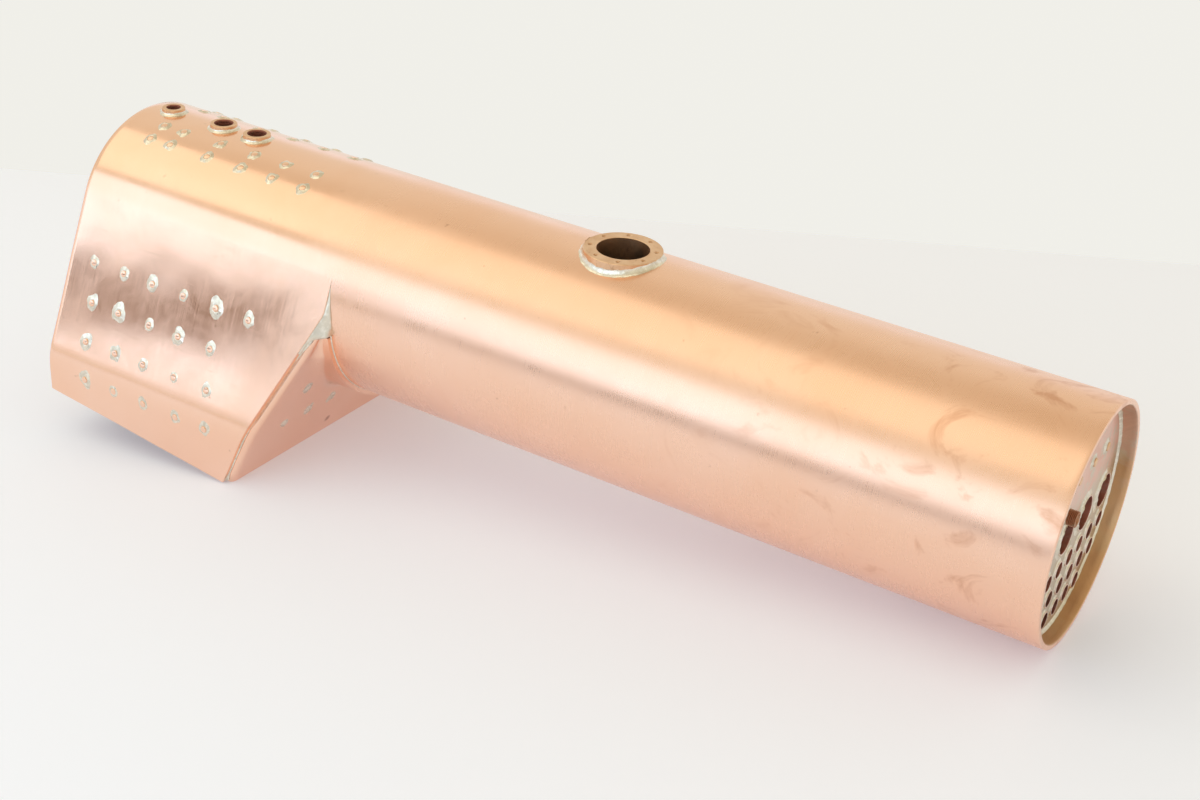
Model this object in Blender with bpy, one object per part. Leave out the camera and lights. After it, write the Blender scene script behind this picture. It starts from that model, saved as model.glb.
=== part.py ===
"""Silver-soldered copper boiler shell for a live-steam model locomotive, in metres.

While it is built, the boiler's own frame has X along the barrel's axis with the front rim at
x = 0 and the firebox towards -X, Y across and Z up. The last step moves it so that the origin
is at the bottom centre of the whole shell.
"""

import math

import bmesh
import bpy
from mathutils import Vector

# Clearance between sheets and fittings that touch on the real boiler
GAP = 0.0003

# Barrel and outer firebox wrapper, one sheet
BARREL_RADIUS = 0.0635
SHEET = 0.003
BARREL_LENGTH = 0.4178
FIREBOX_LENGTH = 0.1902
BOILER_LENGTH = BARREL_LENGTH + FIREBOX_LENGTH
LEG_LEAN = math.radians(22.5)
# How far each skirt of the wrapper stands out past the barrel's side
SKIRT_SPREAD = 0.0337
WRAPPER_HALF_WIDTH = BARREL_RADIUS + SKIRT_SPREAD
SKIRT_BEND_RADIUS = 0.040
SLIT = 0.0006

# Sloping throat and grate
THROAT_LEAN = math.radians(24.5)
THROAT_TURN_HEIGHT = 0.0054
# How far the wrapper reaches below the barrel at the throat and at the backhead
DROP_FRONT = 0.0439
DROP_REAR = 0.0286
DEPTH_FRONT = BARREL_RADIUS + DROP_FRONT
DEPTH_REAR = BARREL_RADIUS + DROP_REAR

# Flanged plates
PLATE = 0.003
FLANGE_LENGTH = 0.010
PLATE_BEND = 0.0045
THROAT_PLATE = 0.0025
THROAT_FLANGE = 0.009
THROAT_STAND = 0.0045
THROAT_BEND = 0.0038
# Distance from the neck's front edge back to the corner where the barrel meets the wrapper
NECK_LENGTH = 0.0025
NECK_FRONT = BARREL_LENGTH - NECK_LENGTH
NECK_FILLET = 0.0065
THROAT_TOP_ANGLE = math.radians(97.0)
# Share of the room in the throat that a bend or a fillet may take
THROAT_SHARE = 0.45
TUBEPLATE_RECESS = 0.008
BACKHEAD_INSET = 0.002

# Inner firebox
WATER_SPACE = 0.008
FIREBOX_SHEET = 0.0025
CROWN_HEIGHT = 0.020
CROWN_CORNER_RADIUS = 0.014
CROWN_CAMBER_RADIUS = 0.250
KNEE_HEIGHT = -0.056
DOORPLATE_SPACE = 0.0095
INNER_FLANGE = 0.008
INNER_BEND = 0.0035
RING_HEIGHT = 0.009

# Tubes and stays through the tubeplates
TUBE_RADIUS = 0.00476
TUBE_WALL = 0.0007
TUBE_PITCH = 0.0146
TUBE_ROWS = (7, 6, 4)
TUBE_TOP_ROW = -0.0208
FLUE_RADIUS = 0.0095
FLUE_WALL = 0.0009
FLUE_PITCH = 0.027
FLUE_COUNT = 4
FLUE_HEIGHT = -0.0025
TUBE_PROUD = 0.0012
STAY_RADIUS = 0.0024
STAY_HEIGHT = 0.0275
STAY_OFFSETS = (-0.0298, -0.0108, 0.0108, 0.0298)
STAY_PROUD = 0.0016

# Steam outlet nipple on the smokebox tubeplate
NIPPLE_RADIUS = 0.0041
NIPPLE_BORE = 0.0026
NIPPLE_PROUD = 0.0058
NIPPLE_DEPTH = 0.006
NIPPLE_PLACE = (-0.0200, 0.0125)

# Dome bush
DOME_X = 0.2686
DOME_RADIUS = 0.02134
DOME_BORE = 0.01425
DOME_PROUD = 0.0029
DOME_HEIGHT = 0.0125
DOME_BOLTS = 8
DOME_BOLT_RADIUS = 0.0012
DOME_BOLT_DEPTH = 0.006
DOME_BOLT_CIRCLE = 0.0178

# Bushes on the wrapper's crown: distance from the rear edge, radius, bore radius
CROWN_BUSHES = {
    "safety_valve_bush_front": (0.0848, 0.0081, 0.0052),
    "safety_valve_bush_rear": (0.0587, 0.0080, 0.0052),
    "turret_bush": (0.0181, 0.0069, 0.0038),
}
CROWN_BUSH_PROUD = 0.0030
CROWN_BUSH_SHOULDER = 0.0014
CROWN_BUSH_INSIDE = 0.0020

# Bushes on the backhead: y, z, radius, bore radius
BACKHEAD_BUSHES = {
    "regulator_bush": (0.0, 0.0430, 0.0095, 0.0060),
    "gauge_bush_top": (0.0260, 0.0400, 0.0060, 0.0035),
    "gauge_bush_bottom": (0.0260, 0.0040, 0.0060, 0.0035),
    "feed_bush_left": (-0.0520, -0.0080, 0.0065, 0.0040),
    "feed_bush_right": (0.0520, -0.0080, 0.0065, 0.0040),
}
BACKHEAD_BUSH_PROUD = 0.0025
BACKHEAD_BUSH_SHOULDER = 0.0013
BACKHEAD_BUSH_INSIDE = 0.0015

# Firehole
FIREHOLE_HEIGHT = -0.030
FIREHOLE_RADIUS = 0.0170
FIREHOLE_WALL = 0.003
FIREHOLE_PROUD = 0.0025

# Facets
ARC_STEPS = 24
BARREL_LOWER_STEPS = 40
LEG_STEPS = 6
BEND_STEPS = 3
FILLET_STEPS = 5
THROAT_LEG_STEPS = 10
THROAT_SKIRT_STEPS = 3
THROAT_FOOT_STEPS = 10
TUBEPLATE_SIDES = 48
TUBE_SIDES = 12
FLUE_SIDES = 18
BUSH_SIDES = 20
DOME_BOLT_SIDES = 8
CAMBER_STEPS = 3
CORNER_STEPS = 5
# Faces that meet at more than this are left sharp
SHARP_ANGLE = math.radians(35)
# How far a cutter reaches each side of a plate
CUT_REACH = 0.010

COPPER = (0.78, 0.44, 0.31)
BRONZE = (0.72, 0.50, 0.28)
SOLDERED = (0.62, 0.50, 0.40)


def clear_scene():
    for item in list(bpy.data.objects):
        bpy.data.objects.remove(item)


def metal(name, color, roughness):
    material = bpy.data.materials.new(name)
    material.use_nodes = True
    shader = material.node_tree.nodes["Principled BSDF"]
    shader.inputs["Base Color"].default_value = (*color, 1.0)
    shader.inputs["Roughness"].default_value = roughness
    shader.inputs["Metallic"].default_value = 1.0
    return material


def add_object(name, points, faces, color, roughness, parent):
    """One closed mesh with outward faces, its own material, and smooth shading on round parts."""
    mesh = bpy.data.meshes.new(name)
    mesh.from_pydata([tuple(p) for p in points], [], faces)
    work = bmesh.new()
    work.from_mesh(mesh)
    bmesh.ops.remove_doubles(work, verts=work.verts, dist=1e-6)
    bmesh.ops.recalc_face_normals(work, faces=work.faces)
    work.to_mesh(mesh)
    work.free()
    mesh.shade_smooth()
    mesh.set_sharp_from_angle(angle=SHARP_ANGLE)
    mesh.materials.append(metal(name, color, roughness))
    item = bpy.data.objects.new(name, mesh)
    bpy.context.scene.collection.objects.link(item)
    item.parent = parent
    return item


def add_cutter(name, points, faces, parent):
    item = add_object(name, points, faces, COPPER, 0.5, parent)
    item.hide_render = True
    item.display_type = "WIRE"
    return item


def cut(item, cutter):
    modifier = item.modifiers.new(cutter.name, "BOOLEAN")
    modifier.operation = "DIFFERENCE"
    modifier.object = cutter
    modifier.solver = "EXACT"


# Outlines. Each is the right half of an arch, from the crown's centre to the foot of the skirt.


def arch(start_height, pieces, foot):
    """Points (y, z) along arcs and lines from (0, start_height), ending at z = foot."""
    y, z, heading = 0.0, start_height, 0.0
    points = [(y, z)]
    for kind, size, angle, steps in pieces:
        y0, z0 = y, z
        if kind == "line":
            for k in range(1, steps + 1):
                points.append((
                    y0 + size * math.cos(heading) * k / steps,
                    z0 + size * math.sin(heading) * k / steps,
                ))
        else:
            for k in range(1, steps + 1):
                new = heading - angle * k / steps
                points.append((
                    y0 + size * (math.sin(heading) - math.sin(new)),
                    z0 - size * (math.cos(heading) - math.cos(new)),
                ))
            heading -= angle
        y, z = points[-1]
    points.append((y, foot))
    return points


LEG_ANGLE = math.pi / 2 - LEG_LEAN
SIN_LEG = math.sin(LEG_ANGLE)
COS_LEG = math.cos(LEG_ANGLE)


# Length of the straight leg between the barrel's round and the skirt's bend
LEG_ACROSS = WRAPPER_HALF_WIDTH - BARREL_RADIUS * SIN_LEG - SKIRT_BEND_RADIUS * (1 - SIN_LEG)
LEG_LENGTH = LEG_ACROSS / COS_LEG


def outer_arch(inset, foot):
    """The outer wrapper's section, moved inwards by inset."""
    pieces = [
        ("arc", BARREL_RADIUS - inset, LEG_ANGLE, ARC_STEPS // 2),
        ("line", LEG_LENGTH, 0.0, LEG_STEPS),
        ("arc", SKIRT_BEND_RADIUS - inset, LEG_LEAN, BEND_STEPS),
    ]
    return arch(BARREL_RADIUS - inset, pieces, foot)


FIREBOX_INSET = SHEET + WATER_SPACE


def inner_arch(inset, foot):
    """The inner firebox's section: a cambered crown, round corners, legs parallel to the wrapper's."""
    corner = CROWN_CORNER_RADIUS
    reach = BARREL_RADIUS - FIREBOX_INSET - corner - (CROWN_HEIGHT - CROWN_CAMBER_RADIUS) * COS_LEG
    camber = LEG_ANGLE - math.acos(reach / (CROWN_CAMBER_RADIUS - corner))
    corner_y = (CROWN_CAMBER_RADIUS - corner) * math.sin(camber) + corner * SIN_LEG
    skirt = SKIRT_BEND_RADIUS - FIREBOX_INSET
    leg = (WRAPPER_HALF_WIDTH - FIREBOX_INSET - corner_y - skirt * (1 - SIN_LEG)) / COS_LEG
    pieces = [
        ("arc", CROWN_CAMBER_RADIUS - inset, camber, CAMBER_STEPS),
        ("arc", corner - inset, LEG_ANGLE - camber, CORNER_STEPS),
        ("line", leg, 0.0, LEG_STEPS),
        ("arc", skirt - inset, LEG_LEAN, BEND_STEPS),
    ]
    return arch(CROWN_HEIGHT - inset, pieces, foot)


def whole(half):
    """Both halves of an arch, from the left foot over the crown to the right foot."""
    return [(-y, z) for y, z in reversed(half[1:])] + list(half)


# Places along the boiler. x is negative towards the firebox.

THROAT_SLOPE = math.tan(THROAT_LEAN)
WRAPPER_FOOT_X = -BARREL_LENGTH - (DEPTH_FRONT + THROAT_TURN_HEIGHT) * THROAT_SLOPE
FOOT_RISE = (DEPTH_FRONT - DEPTH_REAR) / (BOILER_LENGTH + WRAPPER_FOOT_X)


def foot_height(x):
    """Height of the firebox's sloping bottom edge."""
    return -DEPTH_FRONT + (WRAPPER_FOOT_X - x) * FOOT_RISE


def wrapper_front(z):
    """The wrapper's front edge: upright at the barrel, then sloping back with the throat."""
    return -BARREL_LENGTH - max(0.0, THROAT_TURN_HEIGHT - z) * THROAT_SLOPE


def throat_face(z):
    """The throatplate's front face."""
    return -BARREL_LENGTH - (THROAT_TURN_HEIGHT - z) * THROAT_SLOPE + THROAT_STAND


FIREBOX_FACE_SHIFT = (THROAT_PLATE + WATER_SPACE) / math.cos(THROAT_LEAN)
FIREBOX_FRONT = throat_face(KNEE_HEIGHT) - FIREBOX_FACE_SHIFT
BACKHEAD_FACE = -BOILER_LENGTH + BACKHEAD_INSET
BACKHEAD_INNER = BACKHEAD_FACE + PLATE
DOORPLATE_FACE = BACKHEAD_INNER + DOORPLATE_SPACE
TUBEPLATE_FACE = -TUBEPLATE_RECESS


def firebox_face(z):
    """The firebox tubeplate's water side: upright above the knee, sloping below it."""
    return FIREBOX_FRONT + min(0.0, z - KNEE_HEIGHT) * THROAT_SLOPE


def meet_foot(face, shift=0.0):
    """Height at which a sloping face meets the sloping bottom edge."""
    z = -DEPTH_FRONT
    for _ in range(12):
        z = foot_height(face(z) + shift)
    return z


# Turned shapes


def ring_points(axis, centre, radius, sides):
    out = []
    for k in range(sides):
        a = 2 * math.pi * k / sides
        c, s = radius * math.cos(a), radius * math.sin(a)
        if axis == "X":
            out.append((centre[0], centre[1] + c, centre[2] + s))
        else:
            out.append((centre[0] + c, centre[1] + s, centre[2]))
    return out


def turned(axis, origin, profile, sides):
    """A solid of revolution from a closed profile of (distance along the axis, radius)."""
    points, faces = [], []
    for along, radius in profile:
        centre = list(origin)
        centre[0 if axis == "X" else 2] += along
        points += ring_points(axis, centre, radius, sides)
    rings = len(profile)
    for r in range(rings):
        a, b = r * sides, (r + 1) % rings * sides
        for k in range(sides):
            n = (k + 1) % sides
            faces.append((a + k, a + n, b + n, b + k))
    return points, faces


def plug(axis, origin, low, high, radius, sides):
    """A plain cylinder along the axis."""
    points, faces = [], []
    for along in (low, high):
        centre = list(origin)
        centre[0 if axis == "X" else 2] += along
        points += ring_points(axis, centre, radius, sides)
    for k in range(sides):
        n = (k + 1) % sides
        faces.append((k, n, sides + n, sides + k))
    faces.append(tuple(range(sides)))
    faces.append(tuple(range(sides, 2 * sides)))
    return points, faces


# Sheets


def barrel_wrapper(parent):
    """The barrel and the outer firebox wrapper, one sheet slit across its lower half."""
    half_steps = ARC_STEPS // 2
    points, faces, index = [], [], {}

    def point(key, place):
        if key not in index:
            index[key] = len(points)
            points.append(place)
        return index[key]

    def strip(left, right):
        """A quad between two columns, each a list of two point numbers."""
        faces.append((left[0], left[1], right[1], right[0]))

    profiles = [outer_arch(0.0, -DEPTH_FRONT), outer_arch(SHEET, -DEPTH_FRONT)]
    count = 2 * len(profiles[0]) - 1
    first_arc = len(profiles[0]) - 1 - half_steps
    last_arc = first_arc + ARC_STEPS
    columns = {}
    for layer, half in enumerate(profiles):
        full = whole(half)
        radius = BARREL_RADIUS - layer * SHEET
        for i, (y, z) in enumerate(full):
            front_x = wrapper_front(z)
            rear_z = z
            if i in (0, count - 1):
                front_z = meet_foot(wrapper_front)
                front_x = wrapper_front(front_z)
                rear_z = foot_height(-BOILER_LENGTH)
            else:
                front_z = z
            if first_arc <= i <= last_arc:
                front_x = -BARREL_LENGTH
            front = point((layer, "wrap", i), (front_x, y, front_z))
            rear = point((layer, "rear", i), (-BOILER_LENGTH, y, rear_z))
            columns[layer, "wrap", i] = [front, rear]
            if first_arc <= i <= last_arc:
                rim = point((layer, "rim", i), (0.0, y, z))
                columns[layer, "barrel", i - first_arc] = [rim, front]
        for k in range(1, BARREL_LOWER_STEPS):
            a = LEG_ANGLE + (2 * math.pi - 2 * LEG_ANGLE) * k / BARREL_LOWER_STEPS
            y, z = radius * math.sin(a), radius * math.cos(a)
            rim = point((layer, "low rim", k), (0.0, y, z))
            end = point((layer, "low end", k), (wrapper_front(z) + SLIT, y, z))
            columns[layer, "barrel", ARC_STEPS + k] = [rim, end]
    around = ARC_STEPS + BARREL_LOWER_STEPS
    for layer in (0, 1):
        for i in range(count - 1):
            strip(columns[layer, "wrap", i], columns[layer, "wrap", i + 1])
        for i in range(around):
            strip(columns[layer, "barrel", i], columns[layer, "barrel", (i + 1) % around])
    for i in range(around):
        n = (i + 1) % around
        outer, inner = columns[0, "barrel", i], columns[1, "barrel", i]
        outer_n, inner_n = columns[0, "barrel", n], columns[1, "barrel", n]
        faces.append((outer[0], outer_n[0], inner_n[0], inner[0]))
        if i >= ARC_STEPS:
            faces.append((outer[1], inner[1], inner_n[1], outer_n[1]))
    for i in range(count - 1):
        outer, inner = columns[0, "wrap", i], columns[1, "wrap", i]
        outer_n, inner_n = columns[0, "wrap", i + 1], columns[1, "wrap", i + 1]
        faces.append((outer[1], inner[1], inner_n[1], outer_n[1]))
        if i < first_arc or i >= last_arc:
            faces.append((outer[0], outer_n[0], inner_n[0], inner[0]))
    for i in (0, count - 1):
        outer, inner = columns[0, "wrap", i], columns[1, "wrap", i]
        faces.append((outer[0], inner[0], inner[1], outer[1]))
    item = add_object("barrel_wrapper", points, faces, COPPER, 0.34, parent)
    low, high = BARREL_RADIUS / 2, 2 * BARREL_RADIUS
    dome = plug("Z", (-DOME_X, 0, 0), low, high, DOME_RADIUS + GAP, 2 * BUSH_SIDES)
    cut(item, add_cutter("cut_dome", *dome, parent))
    for name, (from_rear, radius, _) in CROWN_BUSHES.items():
        place = (from_rear - BOILER_LENGTH, 0, 0)
        spigot = plug("Z", place, low, high, radius - CROWN_BUSH_SHOULDER + GAP, BUSH_SIDES)
        cut(item, add_cutter("cut_" + name, *spigot, parent))
    return item


def firebox_wrapper(parent):
    """The inner firebox's sides and crown, one bent sheet."""
    layers = [whole(inner_arch(0.0, -DEPTH_FRONT)), whole(inner_arch(FIREBOX_SHEET, -DEPTH_FRONT))]
    last = len(layers[0]) - 1
    points, faces = [], []
    for full in layers:
        for i, (y, z) in enumerate(full):
            front_z = meet_foot(firebox_face) if i in (0, last) else z
            rear_z = foot_height(DOORPLATE_FACE) if i in (0, last) else z
            points.append((firebox_face(front_z), y, front_z))
            points.append((DOORPLATE_FACE, y, rear_z))
    size = 2 * (last + 1)
    for i in range(last):
        a, b = 2 * i, 2 * (i + 1)
        faces.append((a, a + 1, b + 1, b))
        faces.append((size + a, size + b, size + b + 1, size + a + 1))
        faces.append((a, b, size + b, size + a))
        faces.append((a + 1, size + a + 1, size + b + 1, b + 1))
    for a in (0, 2 * last):
        faces.append((a, size + a, size + a + 1, a + 1))
    return add_object("firebox_wrapper", points, faces, COPPER, 0.4, parent)


# Flanged plates


def flanged_arch_plate(name, section, face, side, plate, flange, bend, color, roughness, parent):
    """A plate bent back along an arch. face(z) is its outer side, and side +1 puts the flange at +X.

    section(inset) gives the arch at that inset. The sides are lofted through the flange's end,
    the bend and the flat, outside and inside, and the flats are closed with one face each.
    """
    points, faces = [], []
    rows = []
    for layer in (0, 1):
        thick = layer * plate
        radius = bend - thick
        stations = [(thick, flange)]
        for k in range(BEND_STEPS + 1):
            a = math.pi / 2 * k / BEND_STEPS
            stations.append((thick + radius * (1 - math.cos(a)), thick + radius * (1 - math.sin(a))))
        for inset, back in stations:
            half = section(inset)
            full = whole(half)
            last = len(full) - 1
            row = []
            for i, (y, z) in enumerate(full):
                if i in (0, last):
                    z = meet_foot(face, side * back)
                row.append(len(points))
                points.append((face(z) + side * back, y, z))
            rows.append(row)
    layer_rows = len(rows) // 2
    outer, inner = rows[:layer_rows], rows[layer_rows:]
    for block in (outer, inner):
        for a, b in zip(block, block[1:]):
            for i in range(len(a) - 1):
                faces.append((a[i], a[i + 1], b[i + 1], b[i]))
    for i in range(len(outer[0]) - 1):
        faces.append((outer[0][i], outer[0][i + 1], inner[0][i + 1], inner[0][i]))
    half_row = len(outer[-1]) // 2
    for row in (outer[-1], inner[-1]):
        for i in range(half_row - 1):
            faces.append((row[i], row[i + 1], row[-2 - i], row[-1 - i]))
        faces.append((row[half_row - 1], row[half_row], row[half_row + 1]))
    for end in (0, -1):
        edge_out = [row[end] for row in outer]
        edge_in = [row[end] for row in inner]
        for k in range(layer_rows - 1):
            faces.append((edge_out[k], edge_out[k + 1], edge_in[k + 1], edge_in[k]))
    faces.append((outer[-1][0], outer[-1][-1], inner[-1][-1], inner[-1][0]))
    return add_object(name, points, faces, color, roughness, parent)


def backhead(parent):
    item = flanged_arch_plate(
        "backhead",
        lambda inset: outer_arch(SHEET + GAP + inset, -DEPTH_REAR),
        lambda z: BACKHEAD_FACE,
        1, PLATE, FLANGE_LENGTH, PLATE_BEND, COPPER, 0.36, parent,
    )
    origin = (BACKHEAD_FACE, 0, FIREHOLE_HEIGHT)
    hole = plug("X", origin, -CUT_REACH, CUT_REACH, FIREHOLE_RADIUS + FIREHOLE_WALL + GAP, 2 * FLUE_SIDES)
    cut(item, add_cutter("cut_backhead_firehole", *hole, parent))
    for name, (y, z, radius, _) in BACKHEAD_BUSHES.items():
        spigot = radius - BACKHEAD_BUSH_SHOULDER + GAP
        hole = plug("X", (BACKHEAD_FACE, y, z), -CUT_REACH, CUT_REACH, spigot, BUSH_SIDES)
        cut(item, add_cutter("cut_" + name, *hole, parent))
    for k, (y, z) in enumerate(stay_places()):
        hole = plug("X", (BACKHEAD_FACE, y, z), -CUT_REACH, CUT_REACH, STAY_RADIUS + GAP, TUBE_SIDES)
        cut(item, add_cutter(f"cut_backhead_stay_{k + 1}", *hole, parent))
    return item


def firebox_doorplate(parent):
    item = flanged_arch_plate(
        "firebox_doorplate",
        lambda inset: inner_arch(FIREBOX_SHEET + GAP + inset, -DEPTH_REAR),
        lambda z: DOORPLATE_FACE,
        1, FIREBOX_SHEET, INNER_FLANGE, INNER_BEND, COPPER, 0.4, parent,
    )
    origin = (DOORPLATE_FACE, 0, FIREHOLE_HEIGHT)
    hole = plug("X", origin, -CUT_REACH, CUT_REACH, FIREHOLE_RADIUS + FIREHOLE_WALL + GAP, 2 * FLUE_SIDES)
    cut(item, add_cutter("cut_doorplate_firehole", *hole, parent))
    return item


def firebox_tubeplate(parent):
    item = flanged_arch_plate(
        "firebox_tubeplate",
        lambda inset: inner_arch(FIREBOX_SHEET + GAP + inset, -DEPTH_FRONT),
        firebox_face,
        -1, FIREBOX_SHEET, INNER_FLANGE, INNER_BEND, COPPER, 0.4, parent,
    )
    holes = tube_holes(FIREBOX_FRONT - 2 * PLATE, FIREBOX_FRONT + PLATE)
    cut(item, add_cutter("cut_firebox_tubeplate", *join_shapes(holes), parent))
    return item


def throat_stations(base, normal, layer, on_foot):
    """Points across the flange and its bend, from the flange's end to the edge of the flat."""
    thick = layer * THROAT_PLATE
    bend = max(base_bend(base, normal) - thick, 0.0)
    shift = thick / math.cos(THROAT_LEAN)
    places = [(thick, THROAT_FLANGE)]
    for k in range(BEND_STEPS + 1):
        a = math.pi / 2 * k / BEND_STEPS
        places.append((thick + bend * (1 - math.cos(a)), shift + bend * (1 - math.sin(a))))
    out = []
    for inset, back in places:
        y = base[0] - normal[0] * (SHEET + GAP + inset)
        z = base[1] - normal[1] * (SHEET + GAP + inset)
        if on_foot:
            z = meet_foot(throat_face, -back)
        out.append((throat_face(z) - back, y, z))
    return out


def throat_room(base, normal):
    """Distance between the wrapper's inner side and the neck's outer side, across the throat."""
    y = base[0] - normal[0] * (SHEET + GAP)
    z = base[1] - normal[1] * (SHEET + GAP)
    return math.hypot(y, z) - (BARREL_RADIUS + GAP + THROAT_PLATE)


def base_bend(base, normal):
    return min(THROAT_BEND, THROAT_SHARE * throat_room(base, normal))


def neck_stations(edge, room, layer):
    """Points from a place on the flat, down the fillet and forward to the neck's front edge."""
    thick = layer * THROAT_PLATE
    shift = thick / math.cos(THROAT_LEAN)
    neck = BARREL_RADIUS + GAP + THROAT_PLATE - thick
    reach = math.hypot(edge[1], edge[2])
    across, up = edge[1] / reach, edge[2] / reach
    fillet = min(NECK_FILLET, THROAT_SHARE * room) + thick
    fillet = min(fillet, 2 * THROAT_SHARE * (reach - neck))
    out = []
    for k in range(FILLET_STEPS + 1):
        a = math.pi / 2 * k / FILLET_STEPS
        radius = neck + fillet * (1 - math.sin(a))
        x = throat_face(radius * up) - shift + fillet * (1 - math.cos(a))
        out.append((x, radius * across, radius * up))
    out.append((-NECK_FRONT, neck * across, neck * up))
    return out


def leg_bases():
    """Places on the wrapper's outer side down one leg, with outward normals, throat top to foot."""
    tangent = (BARREL_RADIUS * SIN_LEG, BARREL_RADIUS * COS_LEG)
    top = (BARREL_RADIUS - SHEET - GAP) * math.tan(THROAT_TOP_ANGLE - LEG_ANGLE)
    out = []
    for k in range(THROAT_LEG_STEPS + 1):
        along = top + (LEG_LENGTH - top) * k / THROAT_LEG_STEPS
        base = (tangent[0] + along * COS_LEG, tangent[1] - along * SIN_LEG)
        out.append((base, (SIN_LEG, COS_LEG)))
    last = out[-1][0]
    centre = (last[0] - SKIRT_BEND_RADIUS * SIN_LEG, last[1] - SKIRT_BEND_RADIUS * COS_LEG)
    for k in range(1, BEND_STEPS + 1):
        a = LEG_ANGLE + LEG_LEAN * k / BEND_STEPS
        normal = (math.sin(a), math.cos(a))
        base = (centre[0] + SKIRT_BEND_RADIUS * normal[0], centre[1] + SKIRT_BEND_RADIUS * normal[1])
        out.append((base, normal))
    skirt_top = out[-1][0][1]
    for k in range(1, THROAT_SKIRT_STEPS):
        z = skirt_top - (DEPTH_FRONT + skirt_top) * k / THROAT_SKIRT_STEPS
        out.append(((WRAPPER_HALF_WIDTH, z), (1.0, 0.0)))
    return out


def throat_rows(layer):
    """Rows of points on one side of the plate, from one horn round the foot to the other."""
    rows = []
    for base, normal in leg_bases():
        stations = throat_stations(base, normal, layer, False)
        rows.append(stations + neck_stations(stations[-1], throat_room(base, normal), layer))
    foot = ((WRAPPER_HALF_WIDTH, -DEPTH_FRONT), (1.0, 0.0))
    stations = throat_stations(*foot, layer, True)
    rows.append(stations + neck_stations(stations[-1], throat_room(*foot), layer))
    shift = layer * THROAT_PLATE / math.cos(THROAT_LEAN)
    z = meet_foot(throat_face, -shift)
    for k in range(1, THROAT_FOOT_STEPS + 1):
        y = stations[-1][1] * (1 - k / THROAT_FOOT_STEPS)
        edge = (throat_face(z) - shift, y, z)
        rows.append([edge] + neck_stations(edge, throat_room(*foot), layer))
    mirrored = [[(x, -y, z) for x, y, z in row] for row in reversed(rows[:-1])]
    return rows + mirrored


def throatplate(parent):
    """The sloping plate under the barrel, with a neck forward and flanges back along the legs."""
    points, faces, layers = [], [], []
    for layer in (0, 1):
        numbered = []
        for row in throat_rows(layer):
            numbered.append(list(range(len(points), len(points) + len(row))))
            points += row
        layers.append(numbered)
    longest = len(layers[0][0])
    flange = BEND_STEPS + 1
    for rows in layers:
        for a, b in zip(rows, rows[1:]):
            size = min(len(a), len(b))
            a, b = a[len(a) - size:], b[len(b) - size:]
            for k in range(size - 1):
                faces.append((a[k], a[k + 1], b[k + 1], b[k]))
    for (a, b), (c, d) in zip(zip(layers[0], layers[0][1:]), zip(layers[1], layers[1][1:])):
        faces.append((a[-1], b[-1], d[-1], c[-1]))
        size = min(len(a), len(b))
        faces.append((a[len(a) - size], b[len(b) - size], d[len(b) - size], c[len(a) - size]))
    for top, under in ((layers[0][0], layers[1][0]), (layers[0][-1], layers[1][-1])):
        for k in range(longest - 1):
            faces.append((top[k], top[k + 1], under[k + 1], under[k]))
    full = [i for i, row in enumerate(layers[0]) if len(row) == longest]
    half = len(full) // 2
    for i in (full[half - 1], full[half]):
        top, under = layers[0][i], layers[1][i]
        for k in range(flange):
            faces.append((top[k], top[k + 1], under[k + 1], under[k]))
    return add_object("throatplate", points, faces, COPPER, 0.36, parent)


def join_shapes(shapes):
    """Several separate shapes as one list of points and faces, for a cutter."""
    points, faces = [], []
    for more_points, more_faces in shapes:
        start = len(points)
        points += more_points
        faces += [tuple(start + i for i in face) for face in more_faces]
    return points, faces


# Tubes, stays and fittings through the tubeplates


def tube_places():
    """(name, y, z) of each small fire tube, in rows with a triangular pitch."""
    row_pitch = TUBE_PITCH * math.cos(math.radians(30))
    out = []
    for row, count in enumerate(TUBE_ROWS):
        for k in range(count):
            y = (k - (count - 1) / 2) * TUBE_PITCH
            out.append((f"fire_tube_{row + 1}_{k + 1}", y, TUBE_TOP_ROW - row * row_pitch))
    return out


def flue_places():
    out = []
    for k in range(FLUE_COUNT):
        out.append((f"flue_{k + 1}", (k - (FLUE_COUNT - 1) / 2) * FLUE_PITCH, FLUE_HEIGHT))
    return out


def stay_places():
    return [(y, STAY_HEIGHT) for y in STAY_OFFSETS]


def tube_holes(low, high):
    """Cutters for every fire tube and flue between two places along the boiler."""
    out = []
    for _, y, z in tube_places():
        out.append(plug("X", (0, y, z), low, high, TUBE_RADIUS + GAP, TUBE_SIDES))
    for _, y, z in flue_places():
        out.append(plug("X", (0, y, z), low, high, FLUE_RADIUS + GAP, FLUE_SIDES))
    return out


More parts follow.
